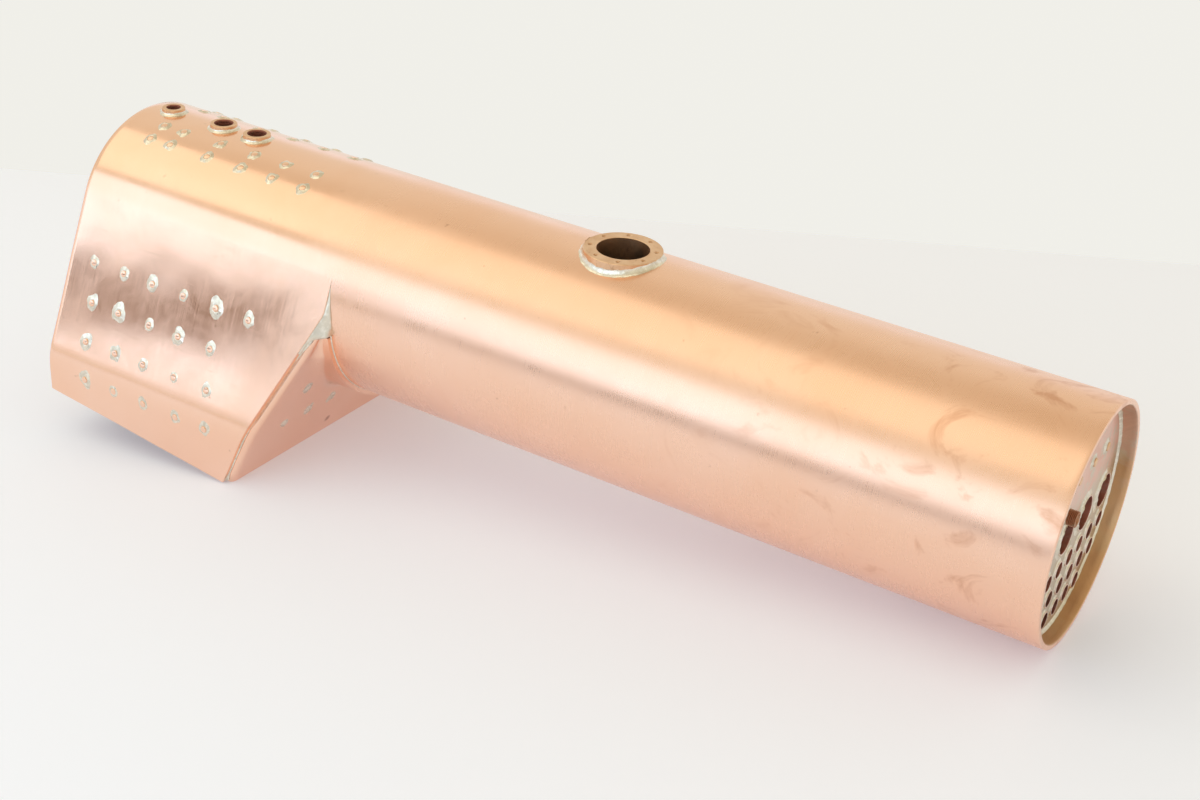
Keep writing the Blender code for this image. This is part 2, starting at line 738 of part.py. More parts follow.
def smokebox_tubeplate(parent):
    outer = BARREL_RADIUS - SHEET - GAP
    profile = [(0.0, 0.0)]
    for k in range(BEND_STEPS + 1):
        a = math.pi / 2 * k / BEND_STEPS
        profile.append((-PLATE_BEND * (1 - math.cos(a)), outer - PLATE_BEND * (1 - math.sin(a))))
    profile += [(-FLANGE_LENGTH, outer), (-FLANGE_LENGTH, outer - PLATE)]
    inside = PLATE_BEND - PLATE
    for k in range(BEND_STEPS + 1):
        a = math.pi / 2 * (1 - k / BEND_STEPS)
        profile.append((
            -PLATE - inside * (1 - math.cos(a)),
            outer - PLATE - inside * (1 - math.sin(a)),
        ))
    profile.append((-PLATE, 0.0))
    shape = turned("X", (TUBEPLATE_FACE, 0, 0), profile, TUBEPLATE_SIDES)
    item = add_object("smokebox_tubeplate", *shape, SOLDERED, 0.5, parent)
    low, high = TUBEPLATE_FACE - 2 * PLATE, TUBEPLATE_FACE + PLATE
    holes = tube_holes(low, high)
    for y, z in stay_places():
        holes.append(plug("X", (0, y, z), low, high, STAY_RADIUS + GAP, TUBE_SIDES))
    holes.append(plug("X", (0, *NIPPLE_PLACE), low, high, NIPPLE_RADIUS + GAP, TUBE_SIDES))
    cut(item, add_cutter("cut_smokebox_tubeplate", *join_shapes(holes), parent))
    return item


def pipe(name, origin, low, high, radius, bore, sides, color, parent):
    profile = [(high, radius), (low, radius), (low, bore), (high, bore)]
    return add_object(name, *turned("X", origin, profile, sides), color, 0.45, parent)


def tubes(parent):
    front = TUBEPLATE_FACE + TUBE_PROUD
    rear = FIREBOX_FRONT - FIREBOX_SHEET - TUBE_PROUD
    for name, y, z in tube_places():
        bore = TUBE_RADIUS - TUBE_WALL
        pipe(name, (0, y, z), rear, front, TUBE_RADIUS, bore, TUBE_SIDES, COPPER, parent)
    for name, y, z in flue_places():
        bore = FLUE_RADIUS - FLUE_WALL
        pipe(name, (0, y, z), rear, front, FLUE_RADIUS, bore, FLUE_SIDES, COPPER, parent)


def longitudinal_stays(parent):
    low, high = BACKHEAD_FACE - STAY_PROUD, TUBEPLATE_FACE + STAY_PROUD
    for k, (y, z) in enumerate(stay_places()):
        rod = plug("X", (0, y, z), low, high, STAY_RADIUS, TUBE_SIDES)
        add_object(f"longitudinal_stay_{k + 1}", *rod, BRONZE, 0.45, parent)


def steam_outlet_nipple(parent):
    low, high = TUBEPLATE_FACE - PLATE - NIPPLE_DEPTH, TUBEPLATE_FACE + NIPPLE_PROUD
    place = (0, *NIPPLE_PLACE)
    name = "steam_outlet_nipple"
    return pipe(name, place, low, high, NIPPLE_RADIUS, NIPPLE_BORE, TUBE_SIDES, BRONZE, parent)


def dome_bush(parent):
    top = BARREL_RADIUS + DOME_PROUD
    low = top - DOME_HEIGHT
    profile = [(top, DOME_BORE), (top, DOME_RADIUS), (low, DOME_RADIUS), (low, DOME_BORE)]
    shape = turned("Z", (-DOME_X, 0, 0), profile, 2 * BUSH_SIDES)
    item = add_object("dome_bush", *shape, BRONZE, 0.4, parent)
    holes = []
    for k in range(DOME_BOLTS):
        a = 2 * math.pi * (k + 0.5) / DOME_BOLTS
        place = (DOME_BOLT_CIRCLE * math.cos(a) - DOME_X, DOME_BOLT_CIRCLE * math.sin(a), 0)
        holes.append(plug("Z", place, top - DOME_BOLT_DEPTH, top + SHEET, DOME_BOLT_RADIUS, DOME_BOLT_SIDES))
    cut(item, add_cutter("cut_dome_bolts", *join_shapes(holes), parent))
    return item


def crown_bushes(parent):
    for name, (from_rear, radius, bore) in CROWN_BUSHES.items():
        top = BARREL_RADIUS + CROWN_BUSH_PROUD
        seat = BARREL_RADIUS + GAP
        low = BARREL_RADIUS - SHEET - CROWN_BUSH_INSIDE
        spigot = radius - CROWN_BUSH_SHOULDER
        profile = [
            (top, bore), (top, radius), (seat, radius), (seat, spigot), (low, spigot), (low, bore),
        ]
        shape = turned("Z", (from_rear - BOILER_LENGTH, 0, 0), profile, BUSH_SIDES)
        add_object(name, *shape, BRONZE, 0.42, parent)


def backhead_bushes(parent):
    for name, (y, z, radius, bore) in BACKHEAD_BUSHES.items():
        rear = BACKHEAD_FACE - BACKHEAD_BUSH_PROUD
        seat = BACKHEAD_FACE - GAP
        front = BACKHEAD_INNER + BACKHEAD_BUSH_INSIDE
        spigot = radius - BACKHEAD_BUSH_SHOULDER
        profile = [
            (rear, bore), (rear, radius), (seat, radius), (seat, spigot), (front, spigot),
            (front, bore),
        ]
        shape = turned("X", (0, y, z), profile, BUSH_SIDES)
        add_object(name, *shape, BRONZE, 0.42, parent)


def firehole_ring(parent):
    rear = BACKHEAD_FACE - FIREHOLE_PROUD
    front = DOORPLATE_FACE + FIREBOX_SHEET + FIREHOLE_PROUD
    outer = FIREHOLE_RADIUS + FIREHOLE_WALL
    place = (0, 0, FIREHOLE_HEIGHT)
    sides = 2 * FLUE_SIDES
    return pipe("firehole_ring", place, rear, front, outer, FIREHOLE_RADIUS, sides, COPPER, parent)


# Foundation ring


def ring_bar(name, front, rear, left, right, parent):
    """A bar on the sloping foot between two faces along X and two places across."""
    points = []
    for face in (front, rear):
        foot = meet_foot(face)
        for z in (foot, foot + RING_HEIGHT):
            points += [(face(z), left, z), (face(z), right, z)]
    faces = [
        (0, 1, 3, 2), (4, 6, 7, 5), (0, 4, 5, 1), (2, 3, 7, 6), (0, 2, 6, 4), (1, 5, 7, 3),
    ]
    return add_object(name, points, faces, COPPER, 0.45, parent)


def foundation_ring(parent):
    outside = WRAPPER_HALF_WIDTH - SHEET - GAP
    inside = WRAPPER_HALF_WIDTH - SHEET - WATER_SPACE + GAP
    throat_shift = THROAT_PLATE / math.cos(THROAT_LEAN) + GAP
    front_half = outside - THROAT_BEND - GAP
    rear_half = outside - PLATE_BEND - GAP
    ring_bar(
        "foundation_bar_front",
        lambda z: throat_face(z) - throat_shift,
        lambda z: firebox_face(z) + GAP,
        -front_half, front_half, parent,
    )
    ring_bar(
        "foundation_bar_rear",
        lambda z: DOORPLATE_FACE - GAP,
        lambda z: BACKHEAD_INNER + GAP,
        -rear_half, rear_half, parent,
    )
    for name, left, right in (
        ("foundation_bar_left", -outside, -inside),
        ("foundation_bar_right", inside, outside),
    ):
        ring_bar(name, firebox_face, lambda z: DOORPLATE_FACE, left, right, parent)


def place_at_bottom_centre(frame):
    """Moves the whole boiler so that the origin is at the bottom centre of its box."""
    bpy.context.view_layer.update()
    graph = bpy.context.evaluated_depsgraph_get()
    low, high = Vector((1e9, 1e9, 1e9)), Vector((-1e9, -1e9, -1e9))
    for item in bpy.data.objects:
        if item.type != "MESH" or item.hide_render:
            continue
        evaluated = item.evaluated_get(graph)
        for corner in evaluated.bound_box:
            place = evaluated.matrix_world @ Vector(corner)
            low = Vector(map(min, low, place))
            high = Vector(map(max, high, place))
    frame.location = (-(low.x + high.x) / 2, -(low.y + high.y) / 2, -low.z)


def main():
    clear_scene()
    frame = bpy.data.objects.new("boiler_frame", None)
    bpy.context.scene.collection.objects.link(frame)
    barrel_wrapper(frame)
    throatplate(frame)
    backhead(frame)
    smokebox_tubeplate(frame)
    firebox_wrapper(frame)
    firebox_tubeplate(frame)
    firebox_doorplate(frame)
    foundation_ring(frame)
    firehole_ring(frame)
    tubes(frame)
    longitudinal_stays(frame)
    steam_outlet_nipple(frame)
    dome_bush(frame)
    crown_bushes(frame)
    backhead_bushes(frame)
    place_at_bottom_centre(frame)


main()
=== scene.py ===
"""Visual model of the silver-soldered copper boiler shell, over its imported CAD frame, in metres.

Shapes are worked out in the boiler's own frame, as in the part's source: X along the barrel's
axis with the front rim at x = 0 and the firebox towards -X, Y across, Z up. at() moves a point
from there into the row frame.
"""

import math

import bmesh
import bpy
from mathutils import Matrix, Vector, noise


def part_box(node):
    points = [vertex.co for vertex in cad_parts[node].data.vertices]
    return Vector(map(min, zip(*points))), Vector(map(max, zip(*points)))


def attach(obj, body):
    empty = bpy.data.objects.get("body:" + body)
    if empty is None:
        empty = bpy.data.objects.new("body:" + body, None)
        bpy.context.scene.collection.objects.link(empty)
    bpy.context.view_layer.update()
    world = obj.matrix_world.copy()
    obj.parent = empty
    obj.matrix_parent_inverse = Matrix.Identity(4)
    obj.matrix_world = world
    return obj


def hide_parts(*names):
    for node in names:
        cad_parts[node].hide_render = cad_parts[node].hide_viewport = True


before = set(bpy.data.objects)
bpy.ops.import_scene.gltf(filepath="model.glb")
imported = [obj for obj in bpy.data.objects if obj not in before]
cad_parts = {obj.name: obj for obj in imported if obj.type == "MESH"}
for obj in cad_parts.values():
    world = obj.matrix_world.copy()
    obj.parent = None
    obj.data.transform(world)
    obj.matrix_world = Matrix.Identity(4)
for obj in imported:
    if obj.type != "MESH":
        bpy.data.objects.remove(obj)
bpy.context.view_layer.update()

# Sizes in metres and radians. Nearly all are the CAD model's own.
GAP = 0.0003
RADIUS = 0.0635
SHEET = 0.003
BARREL = 0.4178
LENGTH = 0.608
LEAN = math.radians(22.5)
HALF_WIDTH = 0.0972
SKIRT_BEND = 0.040
SLIT = 0.0006
SLIT_TOP = 0.024
THROAT_LEAN = math.radians(24.5)
THROAT_TURN = 0.0054
DEPTH_FRONT = 0.1074
DEPTH_REAR = 0.0921
PLATE = 0.003
FLANGE = 0.010
PLATE_BEND = 0.0045
THROAT_PLATE = 0.0025
THROAT_FLANGE = 0.009
THROAT_STAND = 0.0045
THROAT_BEND = 0.0038
NECK_FRONT = 0.4153
NECK_FILLET = 0.0065
THROAT_TOP = math.radians(97.0)
THROAT_SHARE = 0.45
TUBEPLATE = -0.008
BACKHEAD = -0.606
WATER = 0.008
INNER = 0.0025
CROWN = 0.020
CROWN_CORNER = 0.014
CAMBER = 0.250
KNEE = -0.056
DOORPLATE = -0.5935
INNER_FLANGE = 0.008
INNER_BEND = 0.0035
RING_HEIGHT = 0.009
TUBE, TUBE_BORE, TUBE_PITCH = 0.00476, 0.00406, 0.0146
TUBE_ROWS, TUBE_TOP = (7, 6, 4), -0.0208
FLUE, FLUE_BORE, FLUE_PITCH, FLUE_HEIGHT = 0.0095, 0.0086, 0.027, -0.0025
STAY_ENDS = ((-0.0298, 0.0275), (-0.0108, 0.0275), (0.0108, 0.0275), (0.0298, 0.0275))
NIPPLE, NIPPLE_RADIUS = (-0.0200, 0.0125), 0.0041
DOME_X, DOME, DOME_BORE, DOME_TOP = -0.2686, 0.02134, 0.01425, RADIUS + 0.0029
DOME_DEPTH, BOLT_CIRCLE, BOLTS = 0.0125, 0.0178, 8
CROWN_BUSHES = {
    "safety_valve_bush_front": (-0.5232, 0.0081, 0.0052),
    "safety_valve_bush_rear": (-0.5493, 0.0080, 0.0052),
    "turret_bush": (-0.5899, 0.0069, 0.0038),
}
BACKHEAD_BUSHES = {
    "regulator_bush": (0.0, 0.0430, 0.0095, 0.0060),
    "gauge_bush_top": (0.0260, 0.0400, 0.0060, 0.0035),
    "gauge_bush_bottom": (0.0260, 0.0040, 0.0060, 0.0035),
    "feed_bush_left": (-0.0520, -0.0080, 0.0065, 0.0040),
    "feed_bush_right": (0.0520, -0.0080, 0.0065, 0.0040),
}
FIREHOLE, FIREHOLE_OUTSIDE, FIREHOLE_HEIGHT = 0.017, 0.020, -0.030

# How far tubes, longitudinal stays and fittings stand out of their plates.
TUBE_STAND = 0.0012
LONG_STAY, LONG_STAY_STAND = 0.0024, 0.0016
NIPPLE_BORE, NIPPLE_STAND = 0.0026, 0.0058
CROWN_BUSH_STAND = 0.003
FITTING_STAND = 0.0025

# A bush's step where it enters the sheet, an eased edge, how far a drill reaches on each side
# of an end plate, and from where to where it runs above the axis for the dome bush and for
# the crown bushes.
SPIGOT = 0.0014
EASE = 0.0006
CUT = 0.01
DOME_CUT, CROWN_CUT = (0.03, 0.09), (0.04, 0.09)

# The short stays, which only this model has: radius, height of the riveted end, reach past the
# inner plate, and the hole in the solder round them.
STAY, STAY_PROUD, STAY_PAST = 0.0020, 0.0009, 0.0015
STAY_POOL = STAY - 0.0001

LEG_ANGLE = math.pi / 2 - LEAN
SIN_LEG, COS_LEG = math.sin(LEG_ANGLE), math.cos(LEG_ANGLE)
LEG = (HALF_WIDTH - RADIUS * SIN_LEG - SKIRT_BEND * (1 - SIN_LEG)) / COS_LEG
SLOPE = math.tan(THROAT_LEAN)
WRAPPER_FOOT = -BARREL - (DEPTH_FRONT + THROAT_TURN) * SLOPE
FOOT_RISE = (DEPTH_FRONT - DEPTH_REAR) / (LENGTH + WRAPPER_FOOT)
THROAT_SPOT = (-0.014, -0.098)

AHEAD, ACROSS, UP = Vector((1, 0, 0)), Vector((0, 1, 0)), Vector((0, 0, 1))

_, shell_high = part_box("barrel_wrapper")
SHIFT = Vector((shell_high.x, 0.0, shell_high.z - RADIUS))


def at(x, y, z):
    """A point of the boiler's own frame, in the row frame."""
    return Vector((x, y, z)) + SHIFT


def throat_face(z):
    """Place along the boiler of the throatplate's front, at height z."""
    return -BARREL - (THROAT_TURN - z) * SLOPE + THROAT_STAND


# Materials


class Look:
    """The node graph of one material. Its textures run in metres, in the row frame."""

    def __init__(self, name, metallic=1.0, **constants):
        self.material = bpy.data.materials.new(name)
        self.material.use_nodes = True
        self.tree = self.material.node_tree
        self.shader = self.tree.nodes["Principled BSDF"]
        self.shader.inputs["Metallic"].default_value = metallic
        for socket, value in constants.items():
            self.shader.inputs[socket].default_value = value
        self.place = self.tree.nodes.new("ShaderNodeTexCoord").outputs["Object"]

    def add(self, kind, inputs, output=0, **settings):
        node = self.tree.nodes.new("ShaderNode" + kind)
        for key, value in settings.items():
            setattr(node, key, value)
        for key, value in inputs.items():
            if isinstance(value, bpy.types.NodeSocket):
                self.tree.links.new(value, node.inputs[key])
            else:
                node.inputs[key].default_value = value
        return node.outputs[output]

    def noise(self, scale, detail=4.0, rough=0.55, stretch=(1, 1, 1), warp=0.0):
        place = self.add("Mapping", {"Vector": self.place, "Scale": stretch})
        values = {"Vector": place, "Scale": scale, "Detail": detail, "Roughness": rough}
        return self.add("TexNoise", {**values, "Distortion": warp})

    def fit(self, value, low, high, to_low=0.0, to_high=1.0):
        limits = {"From Min": low, "From Max": high, "To Min": to_low, "To Max": to_high}
        return self.add("MapRange", {"Value": value, **limits})

    def math(self, operation, a, b):
        return self.add("Math", {0: a, 1: b}, operation=operation)

    def mix(self, factor, a, b, blend="MIX"):
        a, b = [(*c, 1.0) if isinstance(c, tuple) else c for c in (a, b)]
        values = {0: factor, 6: a, 7: b}
        return self.add("Mix", values, 2, data_type="RGBA", blend_type=blend)

    def along(self, axis):
        split = self.tree.nodes.new("ShaderNodeSeparateXYZ")
        self.tree.links.new(self.place, split.inputs[0])
        return split.outputs[axis]

    def bump(self, height, strength, distance, under=None):
        values = {"Height": height, "Strength": strength, "Distance": distance}
        if under is not None:
            values["Normal"] = under
        return self.add("Bump", values)

    def wire(self, socket, value):
        self.tree.links.new(value, self.shader.inputs[socket])


def brushed_copper():
    """Satin sheet copper: fine marks across the axis, faint blotches, dark spots in front."""
    look = Look("brushed_copper", **{"Anisotropic": 0.35})
    cloud = look.noise(11.0, 5.0, 0.6, warp=0.6)
    patch = look.noise(34.0, 6.0, 0.62, warp=1.2)
    fine = look.noise(150.0, 4.0, 0.6)
    base = look.mix(look.fit(cloud, 0.35, 0.68), (0.97, 0.645, 0.49), (0.95, 0.60, 0.43))
    front = look.fit(look.along("X"), 0.06, 0.27)
    tarnish = look.math("MULTIPLY", look.fit(patch, 0.56, 0.70), front)
    tarnish = look.math("MULTIPLY", tarnish, 0.55)
    base = look.mix(tarnish, base, (0.60, 0.27, 0.14))
    speck = look.math("MULTIPLY", look.fit(fine, 0.70, 0.76), 0.5)
    base = look.mix(speck, base, (0.50, 0.27, 0.17))
    spot = at(throat_face(THROAT_SPOT[1]), *THROAT_SPOT)
    away = look.add("VectorMath", {0: look.place, 1: spot}, "Value", operation="DISTANCE")
    base = look.mix(look.fit(away, 0.0012, 0.0030, 0.75, 0.0), base, (0.42, 0.17, 0.10))
    look.wire("Base Color", base)
    drag = look.noise(1.0, 3.0, 0.6, (2600.0, 34.0, 34.0))
    rough = look.fit(patch, 0.3, 0.75, 0.25, 0.33)
    polish = look.fit(look.along("X"), -0.16, -0.10, -0.13, 0.0)
    rough = look.math("ADD", rough, polish)
    rough = look.math("ADD", rough, look.fit(drag, 0.3, 0.7, -0.02, 0.025))
    look.wire("Roughness", rough)
    normal = look.bump(drag, 0.08, 0.00004)
    long_mark = look.noise(1.0, 2.0, 0.5, (30.0, 700.0, 700.0))
    normal = look.bump(look.fit(long_mark, 0.66, 0.72), 0.10, 0.00003, normal)
    normal = look.bump(fine, 0.10, 0.00006, normal)
    look.wire("Normal", normal)
    return look.material


def fired_copper(name, base, dark, grey, rough, spots, low=None):
    """Copper left matt by heating and pickling, with grey where flux and solder ran.

    low is (height under which it turns, colour there), in the boiler's frame.
    """
    look = Look(name)
    cloud = look.noise(26.0, 6.0, 0.62, warp=0.9)
    fine = look.noise(spots, 5.0, 0.65)
    colour = look.mix(look.fit(cloud, 0.36, 0.66), base, dark)
    colour = look.mix(look.math("MULTIPLY", look.fit(fine, 0.50, 0.64), 0.8), colour, grey)
    if low is not None:
        edge = low[0] + SHIFT.z
        height = look.math("ADD", look.along("Z"), look.fit(cloud, 0.3, 0.7, -0.022, 0.022))
        turn = look.fit(height, edge - 0.016, edge + 0.016, 0.8, 0.0)
        colour = look.mix(turn, colour, low[1])
    look.wire("Base Color", colour)
    look.wire("Roughness", look.fit(cloud, 0.3, 0.7, rough, rough + 0.16))
    normal = look.bump(fine, 0.35, 0.00016)
    look.wire("Normal", look.bump(look.noise(1400.0, 3.0), 0.12, 0.00006, normal))
    return look.material


def turned_bronze():
    """Turned bronze, warmed to pale tan by the torch, with fine tool rings."""
    look = Look("turned_bronze")
    cloud = look.noise(120.0, 5.0, 0.6, warp=0.5)
    colour = look.mix(look.fit(cloud, 0.35, 0.7), (0.83, 0.56, 0.36), (0.70, 0.43, 0.25))
    colour = look.mix(look.math("MULTIPLY", look.fit(look.noise(420.0), 0.6, 0.74), 0.5),
                      colour, (0.38, 0.22, 0.13))
    look.wire("Base Color", colour)
    look.wire("Roughness", look.fit(cloud, 0.3, 0.7, 0.30, 0.42))
    tool = look.add("TexWave", {"Vector": look.place, "Scale": 900.0, "Distortion": 0.4},
                    wave_type="RINGS", rings_direction="Z")
    normal = look.bump(tool, 0.10, 0.00004)
    look.wire("Normal", look.bump(cloud, 0.10, 0.0001, normal))
    return look.material


def silver_solder():
    """Silver solder: pale and warm, in smooth bright patches and duller ones."""
    look = Look("silver_solder")
    cloud = look.noise(260.0, 5.0, 0.6, warp=0.8)
    colour = look.mix(look.fit(cloud, 0.36, 0.66), (0.88, 0.81, 0.69), (0.66, 0.595, 0.49))
    look.wire("Base Color", colour)
    look.wire("Roughness", look.fit(cloud, 0.35, 0.65, 0.15, 0.40))
    normal = look.bump(look.noise(900.0, 3.0), 0.30, 0.00012)
    look.wire("Normal", normal)
    return look.material


COPPER = brushed_copper()
BARREL_INSIDE = fired_copper("barrel_inside", (0.86, 0.60, 0.48), (0.62, 0.42, 0.31),
                             (0.66, 0.63, 0.52), 0.34, 48.0, (0.002, (0.62, 0.36, 0.16)))
FIRED = fired_copper("fired_copper", (0.62, 0.33, 0.22), (0.38, 0.19, 0.13),
                     (0.55, 0.48, 0.38), 0.46, 190.0)
# Dark copper for the bores of the tubes and bushes: painted shade down the holes.
BORE_SHADE = fired_copper("tube_copper", (0.36, 0.13, 0.09), (0.15, 0.06, 0.045),
                           (0.30, 0.16, 0.12), 0.45, 260.0)
PLATE_SKIN = fired_copper("soldered_plate", (0.86, 0.60, 0.52), (0.76, 0.50, 0.41),
                          (0.66, 0.62, 0.53), 0.34, 130.0, (0.004, (0.56, 0.51, 0.41)))
GREY_SOLDER = fired_copper("grey_solder", (0.78, 0.725, 0.61), (0.64, 0.585, 0.48),
                           (0.90, 0.84, 0.74), 0.26, 420.0)
PIPE_LIP = fired_copper("pipe_lip", (0.85, 0.68, 0.60), (0.72, 0.52, 0.44),
                        (0.88, 0.82, 0.74), 0.30, 320.0)
THREAD = fired_copper("brown_thread", (0.60, 0.31, 0.18), (0.42, 0.20, 0.11),
                      (0.52, 0.36, 0.24), 0.40, 300.0)
BRONZE = turned_bronze()
SOLDER = silver_solder()


# Mesh helpers


def put(name, points, faces, looks, slot, nodes=(), sharp=38.0, origin=None):
    """One piece of the object. Its points are in the row frame, or about origin if it has one."""
    mesh = bpy.data.meshes.new(name)
    mesh.from_pydata([tuple(p) for p in points], [], faces)
    work = bmesh.new()
    work.from_mesh(mesh)
    bmesh.ops.remove_doubles(work, verts=work.verts, dist=1e-7)
    bmesh.ops.recalc_face_normals(work, faces=work.faces)
    work.to_mesh(mesh)
    work.free()
    obj = bpy.data.objects.new(name, mesh)
    bpy.context.scene.collection.objects.link(obj)
    for look in looks:
        mesh.materials.append(look)
    if origin is not None:
        obj.location = origin
    bpy.context.view_layer.update()
    smooth(obj, sharp)
    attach(obj, "root")
    if nodes:
        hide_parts(*nodes)
    return obj


def smooth(obj, sharp):
    obj.data.shade_smooth()
    obj.data.set_sharp_from_angle(angle=math.radians(sharp))


def drill(obj, holes, sharp=38.0):
    """Cuts a list of closed shapes out of a piece and keeps the result as its mesh."""
    points, faces = joined(holes)
    mesh = bpy.data.meshes.new("drill")
    mesh.from_pydata([tuple(p - obj.location) for p in points], [], faces)
    work = bmesh.new()
    work.from_mesh(mesh)
    bmesh.ops.recalc_face_normals(work, faces=work.faces)
    work.to_mesh(mesh)
    work.free()
    cutter = bpy.data.objects.new("drill", mesh)
    cutter.location = obj.location
    bpy.context.scene.collection.objects.link(cutter)
    modifier = obj.modifiers.new("drill", "BOOLEAN")
    modifier.operation = "DIFFERENCE"
    modifier.object = cutter
    modifier.solver = "EXACT"
    bpy.context.view_layer.update()
    graph = bpy.context.evaluated_depsgraph_get()
    cut = bpy.data.meshes.new_from_object(obj.evaluated_get(graph))
    obj.modifiers.clear()
    obj.data = cut
    bpy.data.objects.remove(cutter)
    smooth(obj, sharp)


def joined(shapes):
    """Several shapes as one list of points and one of faces."""
    points, faces = [], []
    for more_points, more_faces in shapes:
        start = len(points)
        points += more_points
        faces += [tuple(start + i for i in face) for face in more_faces]
    return points, faces


def loft(rows, closed=False):
    """Quads between rows of the same length. With closed, the last row meets the first."""
    size = len(rows[0])
    points = [p for row in rows for p in row]
    faces = []
    last = len(rows) if closed else len(rows) - 1
    for r in range(last):
        a, b = r * size, (r + 1) % len(rows) * size
        for k in range(size):
            n = (k + 1) % size
            faces.append((a + k, a + n, b + n, b + k))
    return points, faces


def strip(a, b):
    """Quads between two rows of point numbers, as far as the shorter one goes."""
    return [(a[k], a[k + 1], b[k + 1], b[k]) for k in range(min(len(a), len(b)) - 1)]


def strips(rows):
    return [quad for a, b in zip(rows, rows[1:]) for quad in strip(a, b)]


def edges(outer, inner):
    """Quads that close two layers of rows along their first and last columns."""
    return [quad for end in (0, -1)
            for quad in strip([row[end] for row in outer], [row[end] for row in inner])]


def spread(low, high, count):
    """Evenly spaced values from low to high, with count steps between them."""
    return [low + (high - low) * k / count for k in range(count + 1)]


def share(value, start, over):
    """0 up to start, 1 from start + over, and a straight rise between."""
    return min(1.0, max(0.0, (value - start) / over))


def turns(count):
    """Angles evenly spaced round a full turn."""
    return [2 * math.pi * k / count for k in range(count)]


def quarter(steps):
    """(1 - cos, 1 - sin) at each step of a quarter turn, for rounding a bend."""
    angles = [math.pi / 2 * k / steps for k in range(steps + 1)]
    return [(1 - math.cos(a), 1 - math.sin(a)) for a in angles]


def capped(points, faces, size):
    """The shape with its first and last rows, of that size, closed."""
    return points, faces + [tuple(range(size)), tuple(range(len(points) - size, len(points)))]


def circle(axis, centre, radius, sides):
    """Points round a centre, in the plane square to the axis."""
    out = []
    for a in turns(sides):
        c, s = radius * math.cos(a), radius * math.sin(a)
        step = Vector((0, c, s)) if axis == "X" else Vector((c, s, 0))
        out.append(centre + step)
    return out


def turned(axis, centre, profile, sides):
    """A solid of revolution from a closed profile of (distance along the axis, radius)."""
    way = AHEAD if axis == "X" else UP
    rows = [circle(axis, centre + way * along, radius, sides) for along, radius in profile]
    return loft(rows, True)


def rod(axis, centre, low, high, radius, sides):
    """A closed cylinder from low to high along the axis."""
    points, faces = turned(axis, centre, [(low, radius), (high, radius)], sides)
    return capped(points, faces[:sides], sides)


def thread(low, high, radius, pitch, depth):
    """Profile points of a cut thread from low to high."""
    out = []
    turns = max(1, round(abs(high - low) / pitch))
    for k in range(turns):
        start = low + (high - low) * k / turns
        step = (high - low) / turns
        out += [(start + step * 0.12, radius), (start + step * 0.5, radius + depth),
                (start + step * 0.88, radius)]
    return out


# The outer wrapper's section


def section(s, inset=0.0):
    """(y, z, normal y, normal z) at a distance s round the outside from the crown's centre."""
    side = 1.0 if s >= 0 else -1.0
    s = abs(s)
    arc = RADIUS * LEG_ANGLE
    bend = SKIRT_BEND * LEAN
    if s <= arc:
        a = s / RADIUS
        n = (math.sin(a), math.cos(a))
        y, z = (RADIUS - inset) * n[0], (RADIUS - inset) * n[1]
    elif s <= arc + LEG:
        t = s - arc
        n = (SIN_LEG, COS_LEG)
        y = (RADIUS - inset) * SIN_LEG + t * COS_LEG
        z = (RADIUS - inset) * COS_LEG - t * SIN_LEG
    else:
        a = LEG_ANGLE + min(s - arc - LEG, bend) / SKIRT_BEND
        n = (math.sin(a), math.cos(a))
        y = HALF_WIDTH - SKIRT_BEND + (SKIRT_BEND - inset) * n[0]
        z = RADIUS * COS_LEG - LEG * SIN_LEG - SKIRT_BEND * COS_LEG + (SKIRT_BEND - inset) * n[1]
        z -= max(0.0, s - arc - LEG - bend)
    return side * y, z, side * n[0], n[1]


def distance_round(z):
    """The distance s at which the section's outside is at height z, on the +Y side."""
    low, high = 0.0, 0.4
    for _ in range(40):
        middle = (low + high) / 2
        if section(middle)[1] > z:
            low = middle
        else:
            high = middle
    return low


SKIRT_START = RADIUS * LEG_ANGLE + LEG + SKIRT_BEND * LEAN


def wave(x, s):
    """How far the sheet stands off its true shape: hand-dressed legs, a nearly true barrel."""
    side = share(abs(s), 0.062, 0.03) * share(-x, 0.412, 0.03)
    crown = share(-x, 0.40, 0.05)
    big = noise.noise(Vector((x * 26, s * 24, 3.1)))
    small = noise.noise(Vector((x * 55, s * 50, 9.4)))
    true = noise.noise(Vector((x * 9, s * 14, 5.7)))
    return side * (0.00024 * big + 0.00004 * small) + (0.00006 + 0.00006 * crown) * true


def on_sheet(x, s, inset):
    """A point of the wrapper's real sheet, that far under its outside."""
    y, z, ny, nz = section(s, inset)
    off = wave(x, s)
    return at(x, y + ny * off, z + nz * off)


def foot_height(x):
    return -DEPTH_FRONT + (WRAPPER_FOOT - x) * FOOT_RISE


def wrapper_front(z):
    return -BARREL - max(0.0, THROAT_TURN - z) * SLOPE


FIREBOX_FRONT = throat_face(KNEE) - (THROAT_PLATE + WATER) / math.cos(THROAT_LEAN)


def firebox_face(z):
    return FIREBOX_FRONT + min(0.0, z - KNEE) * SLOPE


def meet_foot(face, shift=0.0):
    """Height at which face(z), moved by shift, meets the sloping foot."""
    z = -DEPTH_FRONT
    for _ in range(12):
        z = foot_height(face(z) + shift)
    return z


def leg_height(s, drop, x):
    """Height on the section, where the last part runs down to the sloping foot by share drop."""
    if drop is None:
        return section(s)[1]
    top = section(SKIRT_START)[1]
    return top + (foot_height(x) - top) * drop


TOP_COLUMNS, LOW_COLUMNS, LEG_COLUMNS, BEND_COLUMNS, DROP_COLUMNS = 112, 150, 38, 8, 8
BARREL_STATIONS, WRAP_STATIONS = 120, 64
EDGE = ((0.0, 0.00045), (0.00013, 0.00013), (0.00045, 0.0))


